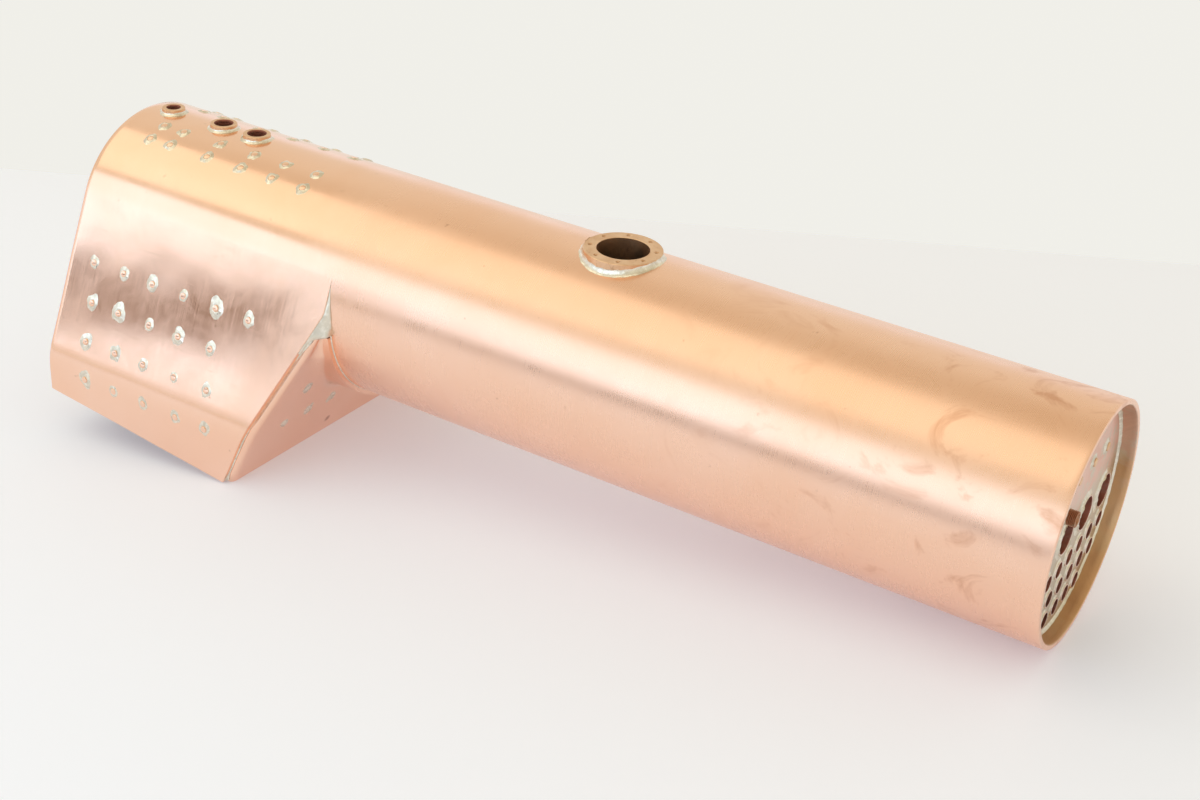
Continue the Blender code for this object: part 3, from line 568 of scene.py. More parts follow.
def wrap_columns():
    """(s, share of the drop to the foot) of each column across the wrapper, left to right."""
    arc = RADIUS * LEG_ANGLE
    half = [(arc + t, None) for t in spread(0.0, LEG, LEG_COLUMNS)[1:]]
    half += [(arc + LEG + t, None) for t in spread(0.0, SKIRT_BEND * LEAN, BEND_COLUMNS)[1:]]
    half += [(SKIRT_START, share) for share in spread(0.0, 1.0, DROP_COLUMNS)[1:]]
    left = [(-s, drop) for s, drop in reversed(half)]
    top = [(s, None) for s in spread(-arc, arc, TOP_COLUMNS)]
    return left + top + half


def sheet_point(x, s, drop, inset):
    """A point of a wrapper column, whose last part runs straight down to the foot."""
    if drop is None:
        return on_sheet(x, s, inset)
    height = leg_height(s, drop, x)
    side = 1 if s > 0 else -1
    down = section(SKIRT_START)[1] - height
    off = wave(x, abs(s) + down)
    return at(x, side * (HALF_WIDTH - inset + off), height)


def front_of(s, drop):
    """Where a column of the wrapper starts, on its sloping front edge."""
    x = -BARREL
    for _ in range(14):
        x = wrapper_front(leg_height(s, drop, x))
    return x


def shell():
    """The barrel and outer firebox wrapper: one sheet, slit across the barrel's lower half."""
    columns = wrap_columns()
    count = len(columns)
    first = (count - 1 - TOP_COLUMNS) // 2
    last = first + TOP_COLUMNS
    points, faces = [], []
    wrap, barrel = {}, {}

    def new(place):
        points.append(place)
        return len(points) - 1

    def thin(layer, shave):
        return shave if layer == 0 else SHEET - shave

    for layer in (0, 1):
        for i, (s, drop) in enumerate(columns):
            top = first <= i <= last
            start = -BARREL if top else front_of(s, drop)
            stations = [(x, 0.0) for x in spread(start, -LENGTH + EDGE[-1][0], WRAP_STATIONS)]
            stations += [(-LENGTH + step, shave) for step, shave in reversed(EDGE[:-1])]
            wrap[layer, i] = [new(sheet_point(x, s, drop, thin(layer, v))) for x, v in stations]
            if top:
                ahead = [(-step, shave) for step, shave in EDGE[:-1]]
                ahead += [(x, 0.0) for x in spread(-EDGE[-1][0], -BARREL, BARREL_STATIONS)[:-1]]
                row = [new(sheet_point(x, s, drop, thin(layer, v))) for x, v in ahead]
                barrel[layer, i - first] = row + [wrap[layer, i][0]]
        below = spread(LEG_ANGLE, 2 * math.pi - LEG_ANGLE, LOW_COLUMNS)[1:-1]
        for k, a in enumerate(below, TOP_COLUMNS + 1):
            height = RADIUS * math.cos(a)
            open_by = SLIT * min(1.0, 0.04 + max(0.0, SLIT_TOP - height) / 0.012)
            end = wrapper_front(height) + open_by
            stations = [(-step, shave) for step, shave in EDGE[:-1]]
            stations += [(x, 0.0) for x in spread(-EDGE[-1][0], end, BARREL_STATIONS)]
            row = []
            for x, shave in stations:
                off = wave(x, (a if a < math.pi else a - 2 * math.pi) * RADIUS)
                blend = min(1.0, abs(a - math.pi) * 3)
                size = RADIUS - thin(layer, shave) + off * blend
                row.append(new(at(x, size * math.sin(a), size * math.cos(a))))
            barrel[layer, k] = row
    around = TOP_COLUMNS + LOW_COLUMNS
    for layer in (0, 1):
        pairs = [(wrap[layer, i], wrap[layer, i + 1]) for i in range(count - 1)]
        pairs += [(barrel[layer, i], barrel[layer, (i + 1) % around]) for i in range(around)]
        for a, b in pairs:
            faces += strip(a, b)

    def rim(sheet, i, n, end):
        return sheet[0, i][end], sheet[0, n][end], sheet[1, n][end], sheet[1, i][end]

    for i in range(around):
        faces.append(rim(barrel, i, (i + 1) % around, 0))
        if i >= TOP_COLUMNS:
            faces.append(rim(barrel, i, (i + 1) % around, -1))
    for i in range(count - 1):
        faces.append(rim(wrap, i, i + 1, -1))
        if i < first or i >= last:
            faces.append(rim(wrap, i, i + 1, 0))
    for i in (0, count - 1):
        faces += strip(wrap[0, i], wrap[1, i])
    obj = put("shell", points, faces, (COPPER, BARREL_INSIDE), "copper", ("barrel_wrapper",),
              sharp=50.0)
    edge = RADIUS - SHEET * 0.75
    for face in obj.data.polygons:
        centre, normal = face.center - SHIFT, face.normal
        if centre.x > -BARREL:
            radial = normal.y * centre.y + normal.z * centre.z
            inner = radial < 0 and math.hypot(centre.y, centre.z) < edge
        else:
            inner = normal.y * centre.y + normal.z * max(centre.z, 0.0) < 0
        face.material_index = 1 if inner else 0
    holes = [rod("Z", at(DOME_X, 0, 0), *DOME_CUT, DOME + GAP, 96)]
    for x, radius, _ in CROWN_BUSHES.values():
        holes.append(rod("Z", at(x, 0, 0), *CROWN_CUT, radius - SPIGOT + GAP, 48))
    drill(obj, holes, 50.0)


# Throatplate


def throat_room(base, normal):
    """Width of throatplate between its outer bend and the barrel, for its two bends."""
    y, z = [base[i] - normal[i] * (SHEET + GAP) for i in (0, 1)]
    return math.hypot(y, z) - (RADIUS + GAP + THROAT_PLATE)


def throat_stations(base, normal, layer, on_foot):
    """Points from the outer flange's edge round its bend, on one side of the plate."""
    thick = layer * THROAT_PLATE
    bend = max(min(THROAT_BEND, THROAT_SHARE * throat_room(base, normal)) - thick, 0.0)
    shift = thick / math.cos(THROAT_LEAN)
    places = [(thick, THROAT_FLANGE), (thick, THROAT_FLANGE * 0.6)]
    places += [(thick + bend * c, shift + bend * s) for c, s in quarter(8)]
    out = []
    for inset, back in places:
        y, z = [base[i] - normal[i] * (SHEET + GAP + inset) for i in (0, 1)]
        if on_foot:
            z = meet_foot(throat_face, -back)
        out.append(Vector((throat_face(z) - back, y, z)))
    return out


def neck_stations(edge, room, layer):
    """Points from the flat of the plate round the fillet and forward along the neck."""
    thick = layer * THROAT_PLATE
    shift = thick / math.cos(THROAT_LEAN)
    neck = RADIUS + GAP + THROAT_PLATE - thick
    reach = math.hypot(edge[1], edge[2])
    across, up = edge[1] / reach, edge[2] / reach
    fillet = min(NECK_FILLET, THROAT_SHARE * room) + thick
    fillet = min(fillet, 2 * THROAT_SHARE * (reach - neck))
    curve = []
    for c, s in quarter(10):
        radius = neck + fillet * s
        x = throat_face(radius * up) - shift + fillet * c
        curve.append(Vector((x, radius * across, radius * up)))
    flat = [Vector(edge).lerp(curve[0], k / 8) for k in range(1, 8)]
    return flat + curve + [Vector((-NECK_FRONT, neck * across, neck * up))]


def leg_bases():
    """((y, z), normal) down the wrapper's outside, from the throatplate's top to its foot."""
    top = (RADIUS - SHEET - GAP) * math.tan(THROAT_TOP - LEG_ANGLE)
    out = []
    for along in spread(top, LEG, 48):
        out.append(((RADIUS * SIN_LEG + along * COS_LEG, RADIUS * COS_LEG - along * SIN_LEG),
                    (SIN_LEG, COS_LEG)))
    end = out[-1][0]
    centre = (end[0] - SKIRT_BEND * SIN_LEG, end[1] - SKIRT_BEND * COS_LEG)
    for a in spread(LEG_ANGLE, LEG_ANGLE + LEAN, 8)[1:]:
        normal = (math.sin(a), math.cos(a))
        place = (centre[0] + SKIRT_BEND * normal[0], centre[1] + SKIRT_BEND * normal[1])
        out.append((place, normal))
    skirt = out[-1][0][1]
    return out + [((HALF_WIDTH, z), (1.0, 0.0)) for z in spread(skirt, -DEPTH_FRONT, 8)[1:-1]]


def throat_rows(layer):
    """One side of the throatplate, as rows from its outer flange to its neck."""
    rows = []
    for base, normal in leg_bases():
        stations = throat_stations(base, normal, layer, False)
        rows.append(stations + neck_stations(stations[-1], throat_room(base, normal), layer))
    foot = ((HALF_WIDTH, -DEPTH_FRONT), (1.0, 0.0))
    stations = throat_stations(*foot, layer, True)
    room = throat_room(*foot)
    rows.append(stations + neck_stations(stations[-1], room, layer))
    shift = layer * THROAT_PLATE / math.cos(THROAT_LEAN)
    z = meet_foot(throat_face, -shift)
    for y in spread(stations[-1][1], 0.0, 32)[1:]:
        edge = Vector((throat_face(z) - shift, y, z))
        rows.append([edge] + neck_stations(edge, room, layer))
    mirrored = [[Vector((p[0], -p[1], p[2])) for p in row] for row in reversed(rows[:-1])]
    return rows + mirrored


def throatplate():
    """Rows across the foot have no outer flange, so rows are matched from the neck end."""
    points, faces, layers = [], [], []
    for layer in (0, 1):
        numbered = []
        for row in throat_rows(layer):
            numbered.append(range(len(points), len(points) + len(row)))
            points += [at(*p) for p in row]
        layers.append(numbered)
    front, back = layers
    for rows in layers:
        for a, b in zip(rows, rows[1:]):
            size = min(len(a), len(b))
            faces += strip(a[-size:], b[-size:])
    for a, b, c, d in zip(front, front[1:], back, back[1:]):
        size = min(len(a), len(b))
        faces += [(a[k], b[k], d[k], c[k]) for k in (-1, -size)]
    longest = len(front[0])
    full = [i for i, row in enumerate(front) if len(row) == longest]
    half = len(full) // 2
    for i in (0, -1):
        faces += strip(front[i], back[i])
    for i in (full[half - 1], full[half]):
        faces += strip(front[i][:11], back[i])
    put("throat", points, faces, (COPPER,), "copper", ("throatplate",))


# Flanged plates and the inner firebox


def inner_half(inset):
    """(y, z) down the right half of the inner firebox's section, without its foot."""
    corner, skirt = CROWN_CORNER, SKIRT_BEND - SHEET - WATER
    reach = RADIUS - SHEET - WATER - corner - (CROWN - CAMBER) * COS_LEG
    camber = LEG_ANGLE - math.acos(reach / (CAMBER - corner))
    corner_y = (CAMBER - corner) * math.sin(camber) + corner * SIN_LEG
    leg = (HALF_WIDTH - SHEET - WATER - corner_y - skirt * (1 - SIN_LEG)) / COS_LEG
    pieces = [(CAMBER - inset, camber, 10), (corner - inset, LEG_ANGLE - camber, 12),
              (None, leg, 24), (skirt - inset, LEAN, 6)]
    return walk(CROWN - inset, pieces)


def outer_half(inset):
    """The same down the outer wrapper's section."""
    pieces = [(RADIUS - inset, LEG_ANGLE, 40), (None, LEG, 24), (SKIRT_BEND - inset, LEAN, 6)]
    return walk(RADIUS - inset, pieces)


def walk(start, pieces):
    """Points (y, z) along arcs (radius, angle, steps) and lines (None, length, steps)."""
    y, z, heading = 0.0, start, 0.0
    out = [(y, z)]
    for radius, size, steps in pieces:
        y0, z0 = y, z
        for k in range(1, steps + 1):
            if radius is None:
                y = y0 + size * math.cos(heading) * k / steps
                z = z0 + size * math.sin(heading) * k / steps
            else:
                new = heading - size * k / steps
                y = y0 + radius * (math.sin(heading) - math.sin(new))
                z = z0 - radius * (math.cos(heading) - math.cos(new))
            out.append((y, z))
        if radius is not None:
            heading -= size
    return out


def whole(half, foot):
    """The full arch, its feet at height foot, with four steps down each skirt."""
    y, z = half[-1]
    right = half + [(y, low) for low in spread(z, foot, 4)[1:]]
    return [(-y, z) for y, z in reversed(right[1:])] + right


def flanged_plate(name, half, face, side, plate, flange, bend, looks, nodes):
    """A plate bent back along an arch. face(z) is its outer side, and side is the flange's."""
    points, rows = [], []
    for layer in (0, 1):
        thick = layer * plate
        radius = bend - thick
        bent = [(thick + radius * c, thick + radius * s) for c, s in quarter(7)]
        for inset, back in [(thick, flange)] + bent:
            row = []
            for y, z in whole(half(inset), meet_foot(face, side * back)):
                row.append(len(points))
                points.append(at(face(z) + side * back, y, z))
            rows.append(row)
    half_way = len(rows) // 2
    outer, inner = rows[:half_way], rows[half_way:]
    faces = strips(outer) + strips(inner) + strip(outer[0], inner[0]) + edges(outer, inner)
    middle = len(outer[-1]) // 2
    for row in (outer[-1], inner[-1]):
        faces += [(row[i], row[i + 1], row[-2 - i], row[-1 - i]) for i in range(middle - 1)]
        faces.append((row[middle - 1], row[middle], row[middle + 1]))
    faces.append((outer[-1][0], outer[-1][-1], inner[-1][-1], inner[-1][0]))
    return put(name, points, faces, looks, "copper", nodes)


def firebox_sheet():
    """The inner firebox's sides and crown, one bent sheet."""
    steps = 24
    points, layers = [], []
    for inset in (0.0, INNER):
        front = whole(inner_half(inset), meet_foot(firebox_face))
        rear = whole(inner_half(inset), foot_height(DOORPLATE))
        rows = []
        for (y, z), (_, rear_z) in zip(front, rear):
            start = firebox_face(z)
            rows.append(range(len(points), len(points) + steps + 1))
            for t in spread(0.0, 1.0, steps):
                points.append(at(start + (DOORPLATE - start) * t, y, z + (rear_z - z) * t))
        layers.append(rows)
    outer, inner = layers
    faces = strips(outer) + strips(inner) + edges(outer, inner)
    for end in (0, -1):
        faces += strip(outer[end], inner[end])
    put("firebox_sides", points, faces, (FIRED,), "fired_copper", ("firebox_wrapper",))


def stay_holes(low, high, radius):
    """Holes for the longitudinal stays."""
    return [rod("X", at(0, y, z), low, high, radius, 32) for y, z in STAY_ENDS]


def plates():
    """The backhead, doorplate and firebox tubeplate, with their holes."""
    back = flanged_plate(
        "rear_plate", lambda inset: outer_half(SHEET + GAP + inset), lambda z: BACKHEAD,
        1, PLATE, FLANGE, PLATE_BEND, (COPPER,), ("backhead",))
    hole = FIREHOLE_OUTSIDE + GAP
    low, high = BACKHEAD - CUT, BACKHEAD + CUT
    holes = [rod("X", at(0, 0, FIREHOLE_HEIGHT), low, high, hole, 72)]
    for y, z, radius, _ in BACKHEAD_BUSHES.values():
        holes.append(rod("X", at(0, y, z), low, high, radius - 0.001, 40))
    drill(back, holes + stay_holes(low, high, 0.0027))
    door = flanged_plate(
        "door_plate", lambda inset: inner_half(INNER + GAP + inset), lambda z: DOORPLATE,
        1, INNER, INNER_FLANGE, INNER_BEND, (FIRED,), ("firebox_doorplate",))
    low, high = DOORPLATE - CUT, DOORPLATE + CUT
    drill(door, [rod("X", at(0, 0, FIREHOLE_HEIGHT), low, high, hole, 72)])
    tube_end = flanged_plate(
        "tube_plate_rear", lambda inset: inner_half(INNER + GAP + inset), firebox_face,
        -1, INNER, INNER_FLANGE, INNER_BEND, (FIRED,), ("firebox_tubeplate",))
    drill(tube_end, tube_holes(*seat(FIREBOX_FRONT)))


# Tubes and the smokebox tubeplate


def tube_places():
    """(name, y, z) of each small fire tube. The rows stand in a triangular pattern."""
    out = []
    for row, count in enumerate(TUBE_ROWS):
        z = TUBE_TOP - row * TUBE_PITCH * math.cos(math.radians(30))
        for k in range(count):
            out.append((f"fire_tube_{row + 1}_{k + 1}", (k - (count - 1) / 2) * TUBE_PITCH, z))
    return out


def flue_places():
    return [(f"flue_{k + 1}", (k - 1.5) * FLUE_PITCH, FLUE_HEIGHT) for k in range(4)]


def tube_holes(low, high):
    holes = [rod("X", at(0, y, z), low, high, TUBE + 0.0001, 32) for _, y, z in tube_places()]
    holes += [rod("X", at(0, y, z), low, high, FLUE + 0.0001, 44) for _, y, z in flue_places()]
    return holes


def seat(x):
    """From where to where the holes of the tubeplate at x are cut."""
    return x - 0.006, x + 0.004


def front_plate():
    """The recessed smokebox tubeplate, turned as a dish with its flange to the rear."""
    outer, inside, sides = RADIUS - SHEET - GAP, PLATE_BEND - PLATE, 144
    profile = [(0.0, radius) for radius in (0.002, 0.02, 0.04, 0.05)]
    profile += [(-PLATE_BEND * c, outer - PLATE_BEND * s) for c, s in quarter(7)]
    profile += [(-FLANGE, outer), (-FLANGE, outer - PLATE)]
    profile += [(-PLATE - inside * c, outer - PLATE - inside * s) for c, s in quarter(5)[::-1]]
    profile.append((-PLATE, 0.002))
    points, faces = turned("X", at(TUBEPLATE, 0, 0), profile, sides)
    obj = put("tube_plate_front", *capped(points, faces[:-sides], sides), (PLATE_SKIN,),
              "copper", ("smokebox_tubeplate",))
    low, high = seat(TUBEPLATE)
    holes = tube_holes(low, high) + stay_holes(low, high, 0.0025)
    holes.append(rod("X", at(0, *NIPPLE), low, high, NIPPLE_RADIUS + 0.0001, 32))
    drill(obj, holes)


def lip(end, way, wall, bore):
    """Profile points over a tube's rounded end, from its outside to its bore."""
    shape = ((0.45, 1.0), (0.1, 0.8), (0.0, 0.5), (0.1, 0.15), (0.6, 0.0))
    return [(end + way * wall * along, bore + wall * up) for along, up in shape]


def paint_bore_shade(obj, centre, way, radius):
    """Gives the second material, the painted shade of a bore, to faces nearer than radius to the
    line through centre.
    """
    for face in obj.data.polygons:
        away = face.center - centre
        away -= way * away.dot(way)
        face.material_index = int(away.length < radius)


def tube_bank():
    """The fire tubes and flues, open from end to end, with painted shade in their bores."""
    front, rear = TUBEPLATE + TUBE_STAND, FIREBOX_FRONT - INNER - TUBE_STAND
    for places, radius, bore, sides in ((tube_places(), TUBE, TUBE_BORE, 32),
                                        (flue_places(), FLUE, FLUE_BORE, 48)):
        wall = radius - bore
        profile = lip(front, -1, wall, bore) + lip(rear, 1, wall, bore)[::-1]
        for name, y, z in places:
            pipe = put(name + "_pipe", *turned("X", at(0, y, z), profile, sides),
                       (PIPE_LIP, BORE_SHADE), "fired_copper", (name,), sharp=60.0)
            # The bore gets the dark copper, painted shade down the tube.
            paint_bore_shade(pipe, at(0, y, z), AHEAD, bore + wall * 0.1)


def fittings():
    """The longitudinal stays, the nipple, the bushes of crown and backhead, the firehole ring."""
    low, high = BACKHEAD - LONG_STAY_STAND, TUBEPLATE + LONG_STAY_STAND
    round_off, centre = 0.0005, 0.0001
    profile = [(low, centre), (low, LONG_STAY - round_off), (low + round_off, LONG_STAY),
               (high - round_off, LONG_STAY), (high, LONG_STAY - round_off), (high, centre)]
    for k, (y, z) in enumerate(STAY_ENDS):
        put(f"long_stay_{k + 1}", *turned("X", at(0, y, z), profile, 32), (BRONZE,), "bronze",
            (f"longitudinal_stay_{k + 1}",))
    low, high = TUBEPLATE - 0.009, TUBEPLATE + NIPPLE_STAND
    profile = [(low, NIPPLE_BORE), (low, NIPPLE_RADIUS - 0.0001)]
    profile += thread(low + 0.004, high - 0.0002, NIPPLE_RADIUS, 0.0008, -0.00038)
    profile += [(high, 0.0038), (high, NIPPLE_BORE + 0.0003), (high - 0.0004, NIPPLE_BORE)]
    put("nipple", *turned("X", at(0, *NIPPLE), profile, 48), (THREAD,), "bronze",
        ("steam_outlet_nipple",))
    for name, (x, radius, bore) in CROWN_BUSHES.items():
        bush("Z", name, at(x, 0, 0), RADIUS + CROWN_BUSH_STAND, RADIUS, RADIUS - SHEET - 0.002,
             radius, bore)
    for name, (y, z, radius, bore) in BACKHEAD_BUSHES.items():
        bush("X", name, at(0, y, z), BACKHEAD - FITTING_STAND, BACKHEAD,
             BACKHEAD + PLATE + 0.0015, radius, bore)
    rear, front = BACKHEAD - FITTING_STAND, DOORPLATE + INNER + FITTING_STAND
    bore, outside = FIREHOLE, FIREHOLE_OUTSIDE
    profile = [(rear, bore + EASE), (rear, outside - EASE), (rear + EASE, outside),
               (front - EASE, outside), (front, outside - EASE), (front, bore + EASE),
               (front - EASE, bore), (rear + EASE, bore)]
    put("firehole_pipe", *turned("X", at(0, 0, FIREHOLE_HEIGHT), profile, 96), (FIRED,),
        "fired_copper", ("firehole_ring",))


def bush(axis, name, centre, top, seat, low, radius, bore):
    """A flanged bush with small chamfers and a threaded bore painted dark as shade, turned about
    its place.
    """
    out = 1 if top > low else -1
    chamfer = 0.0003
    profile = [(top, bore + 0.0006), (top, radius - chamfer), (top - out * chamfer, radius),
               (seat, radius), (seat, radius - SPIGOT), (low, radius - SPIGOT), (low, bore)]
    profile += thread(low, top - out * 0.0006, bore, 0.0009, 0.0004)
    way = AHEAD if axis == "X" else UP
    profile = [(along - top, size) for along, size in profile]
    obj = put(name + "_turned", *turned(axis, Vector(), profile, 64), (BRONZE, BORE_SHADE),
              "bronze", (name,), origin=centre + way * top)
    # The bore gets the dark copper, painted shade down the hole.
    paint_bore_shade(obj, Vector(), way, bore + 0.00045)


def dome():
    """The dome bush, with a ring of tapped blind holes."""
    profile = [(0.0, DOME_BORE + 0.0002), (0.0, DOME - 0.0003), (-0.0003, DOME),
               (-DOME_DEPTH, DOME), (-DOME_DEPTH, DOME_BORE), (-0.0002, DOME_BORE)]
    centre = at(DOME_X, 0, DOME_TOP)
    obj = put("dome_flange", *turned("Z", Vector(), profile, 160), (BRONZE,), "bronze",
              ("dome_bush",), origin=centre)
    wall = [(0.001, 0.0013), (-0.0002, 0.0013)]
    wall += thread(-0.0003, -0.006, 0.00105, 0.00045, 0.00015) + [(-0.0068, 0.00002)]
    holes, sides = [], 20
    for a in turns(BOLTS):
        a += math.pi / BOLTS
        place = centre + Vector((math.cos(a), math.sin(a), 0)) * BOLT_CIRCLE
        points, faces = turned("Z", place, wall, sides)
        holes.append((points, faces[:-sides] + [tuple(range(sides))]))
    drill(obj, holes)


# Foundation ring


def bar(name, front, rear, left, right):
    """A bar on the sloping foot between two faces along X and two places across, edges eased."""
    points = []
    for face in (front, rear):
        foot = meet_foot(face)
        for z in (foot, foot + RING_HEIGHT):
            points += [at(face(z), left, z), at(face(z), right, z)]
    faces = [(0, 1, 3, 2), (4, 6, 7, 5), (0, 4, 5, 1), (2, 3, 7, 6), (0, 2, 6, 4), (1, 5, 7, 3)]
    obj = put(name + "_eased", points, faces, (FIRED,), "fired_copper", (name,))
    ease = obj.modifiers.new("ease", "BEVEL")
    ease.width = EASE
    ease.segments = 3


def foundation_ring():
    outside = HALF_WIDTH - SHEET - GAP
    inside = HALF_WIDTH - SHEET - WATER + GAP
    shift = THROAT_PLATE / math.cos(THROAT_LEAN) + GAP
    front, rear = outside - THROAT_BEND - GAP, outside - PLATE_BEND - GAP
    bar("foundation_bar_front", lambda z: throat_face(z) - shift, lambda z: firebox_face(z) + GAP,
        -front, front)
    bar("foundation_bar_rear", lambda z: DOORPLATE - GAP, lambda z: BACKHEAD + PLATE + GAP,
        -rear, rear)
    bar("foundation_bar_left", firebox_face, lambda z: DOORPLATE, -outside, -inside)
    bar("foundation_bar_right", firebox_face, lambda z: DOORPLATE, inside, outside)


# Solder


def pool(place, hole, width, height, seed, tall=1.0, lean=0.0):
    """A frozen pool of solder round a stub. place(u, v, h) gives a point near its centre."""
    steps = 8
    rows = []
    for a in turns(36):
        c, s = math.cos(a), math.sin(a)
        lump = noise.noise(Vector((c * 1.1 + seed * 7.3, s * 1.1, seed * 1.7)))
        small = noise.noise(Vector((c * 3.1, s * 3.1 + seed * 3.3, 4.0)))
        reach = width * (1.0 + 0.55 * lump + 0.18 * small) * (1 + (tall - 1) * abs(s) ** 1.5)
        reach *= 1 + lean * s
        rise = height * (1.0 + 0.5 * noise.noise(Vector((s * 1.3, c * 1.3, seed * 2.9))))
        row = [place(hole * 0.6 * c, hole * 0.6 * s, -0.0006)]
        for j in range(steps + 1):
            t = j / steps
            r = hole + reach * t
            crest = 0.55 + 0.45 * min(1.0, t * 5)
            bulge = 0.10 * height * noise.noise(Vector((r * c * 900, r * s * 900, seed)))
            h = rise * crest * (1 - t) ** 1.3 + (bulge + 0.00008) * (1 - t) - 0.00004 * t
            row.append(place(r * c, r * s, h))
        row.append(place((hole + reach) * c, (hole + reach) * s, -0.0006))
        rows.append(row)
    return loft(rows, True)


def stub(place, proud, depth):
    """A stay's riveted end and shank, from its rounded top down by depth."""
    return loft([[place(STAY * r * math.cos(a), STAY * r * math.sin(a), h) for a in turns(20)]
                 for r, h in ((0.0, proud), (0.6, proud * 0.98), (0.88, proud * 0.9),
                              (0.98, proud * 0.6), (1.0, 0.0), (1.0, -depth), (0.0, -depth))])


def flat_place(centre, u_way, v_way, out):
    """The place(u, v, h) of a pool or stub that stands on a flat plate."""
    return lambda u, v, h: centre + u_way * u + v_way * v + out * h


def sheet_place(x, s, turn, inset=0.0, out=-1):
    """The same on the wrapper's curved sheet. out is +1 on the inner firebox."""
    return lambda u, v, h: on_sheet(x + u, s + turn * v, inset + out * h)


def bead(path, width, height, seed, power=1.7, closed=True, noisy=0.45, swell=None):
    """A concave fillet of solder along (corner, way along one face, way up the other)."""
    rows = []
    for k, (corner, first, second) in enumerate(path):
        p = corner * 320
        size = swell(k / (len(path) - 1)) if swell else 1.0
        w = size * width * (1 + noisy * noise.noise(p + Vector((seed, 0, 0))))
        h = size * height * (1 + noisy * noise.noise(p + Vector((0, seed * 3.0, 0))))
        row = [corner - (first + second) * 0.0004]
        for j in range(7):
            t = j / 6
            row.append(corner + first * (w * (1 - t) ** power) + second * (h * t ** power))
        rows.append(row)
    shape = loft(rows, closed)
    return shape if closed else capped(*shape, len(rows[0]))


def ring_path(centre, radius, first_out, second, sides):
    """Corners round a circle: one way runs outwards, or inwards, and the other along second."""
    return [(p, (p - centre).normalized() * first_out, second)
            for p in circle("X", centre, radius, sides)]


def ring(centre, radius, way, sides, width, height, seed, noisy=0.45):
    """A bead of solder round a tube or bush, on the side of its plate that looks along way."""
    path = ring_path(centre, radius, 1.0, way, sides)
    return bead(path, width, height, seed, noisy=noisy)


def put_solder(name, shapes, look=None):
    put(name, *joined(shapes), (look or SOLDER,), "copper", (), 70.0)


def put_stays(where, stubs, pools, inner_pools, end=""):
    """A group of short stays, with the solder round both their ends."""
    put(f"{where}_stays{end}", *joined(stubs), (COPPER,), "copper")
    put_solder(f"{where}_stay_solder{end}", pools)
    put_solder(f"{where}_stay_inner_solder{end}", inner_pools)


# Side stays, as they stand in the photo: height of each row, then places along the boiler in
# barrel radii. Crown stays: angles from the top in degrees, and places along the boiler.
STAY_ROWS = (
    (-0.0108, (-9.265, -8.88, -8.52, -8.135, -7.735, -7.35)),
    (-0.0326, (-9.18, -8.835, -8.45, -8.085, -7.695)),
    (-0.0543, (-9.15, -8.77, -8.415, -8.03, -7.63)),
    (-0.0763, (-9.10, -8.73, -8.35, -7.945, -7.59)),
)
CROWN_ANGLES = (-27.0, -15.5, 15.5, 27.0)
CROWN_PLACES = (-9.15, -8.90, -8.44, -8.03, -7.66, -7.30)


def side_stays():
    """Stays through the wrapper's sides. The solder lies longer up and down."""
    through = SHEET + WATER + INNER
    seed = 0
    for side, label in ((-1, "left"), (1, "right")):
        stubs, pools, inner_pools = [], [], []
        for z, xs in STAY_ROWS:
            s = side * distance_round(z)
            for x in xs:
                seed += 1
                spot = noise.noise(Vector((seed * 1.37, 0.5, side)))
                outer = sheet_place(x * RADIUS, s, -side)
                inner = sheet_place(x * RADIUS, s, -side, through, 1)
                proud = STAY_PROUD * (1.1 + 0.5 * spot)
                stubs.append(stub(outer, proud, through + STAY_PAST))
                width = 0.0021 * (1.15 + 0.9 * spot)
                height = 0.0006 if z > -0.04 else 0.0004
                pools.append(pool(outer, STAY_POOL, width, height, seed, 1.4, 0.15))
                inner_pools.append(pool(inner, STAY_POOL, 0.002, 0.001, seed + 50, 1.2))
        put_stays("side", stubs, pools, inner_pools, "_" + label)


def crown_under(y):
    """Height of the underside of the inner firebox's cambered crown."""
    return CROWN - INNER - (CAMBER - math.sqrt(CAMBER ** 2 - y ** 2))


def crown_stays():
    """Stays square to the wrapper's crown, down to the crown of the inner firebox."""
    stubs, pools, inner_pools = [], [], []
    seed = 100
    for angle in CROWN_ANGLES:
        a = math.radians(angle)
        reach = RADIUS
        for _ in range(20):
            reach = crown_under(reach * math.sin(a)) / math.cos(a)
        y = reach * math.sin(a)
        radial = Vector((0, math.sin(a), math.cos(a)))
        across = Vector((0, math.cos(a), -math.sin(a)))
        for x in CROWN_PLACES:
            seed += 1
            place = flat_place(at(x * RADIUS, 0, 0) + radial * RADIUS, AHEAD, across, radial)
            stubs.append(stub(place, STAY_PROUD, RADIUS - reach + STAY_PAST))
            outer = sheet_place(x * RADIUS, a * RADIUS, 1)
            pools.append(pool(outer, STAY_POOL, 0.0024, 0.0009, seed, 1.1))
            under = flat_place(at(x * RADIUS, y, crown_under(y)), AHEAD, ACROSS, -UP)
            inner_pools.append(pool(under, STAY_POOL, 0.0022, 0.0012, seed + 40))
    put_stays("crown", stubs, pools, inner_pools)


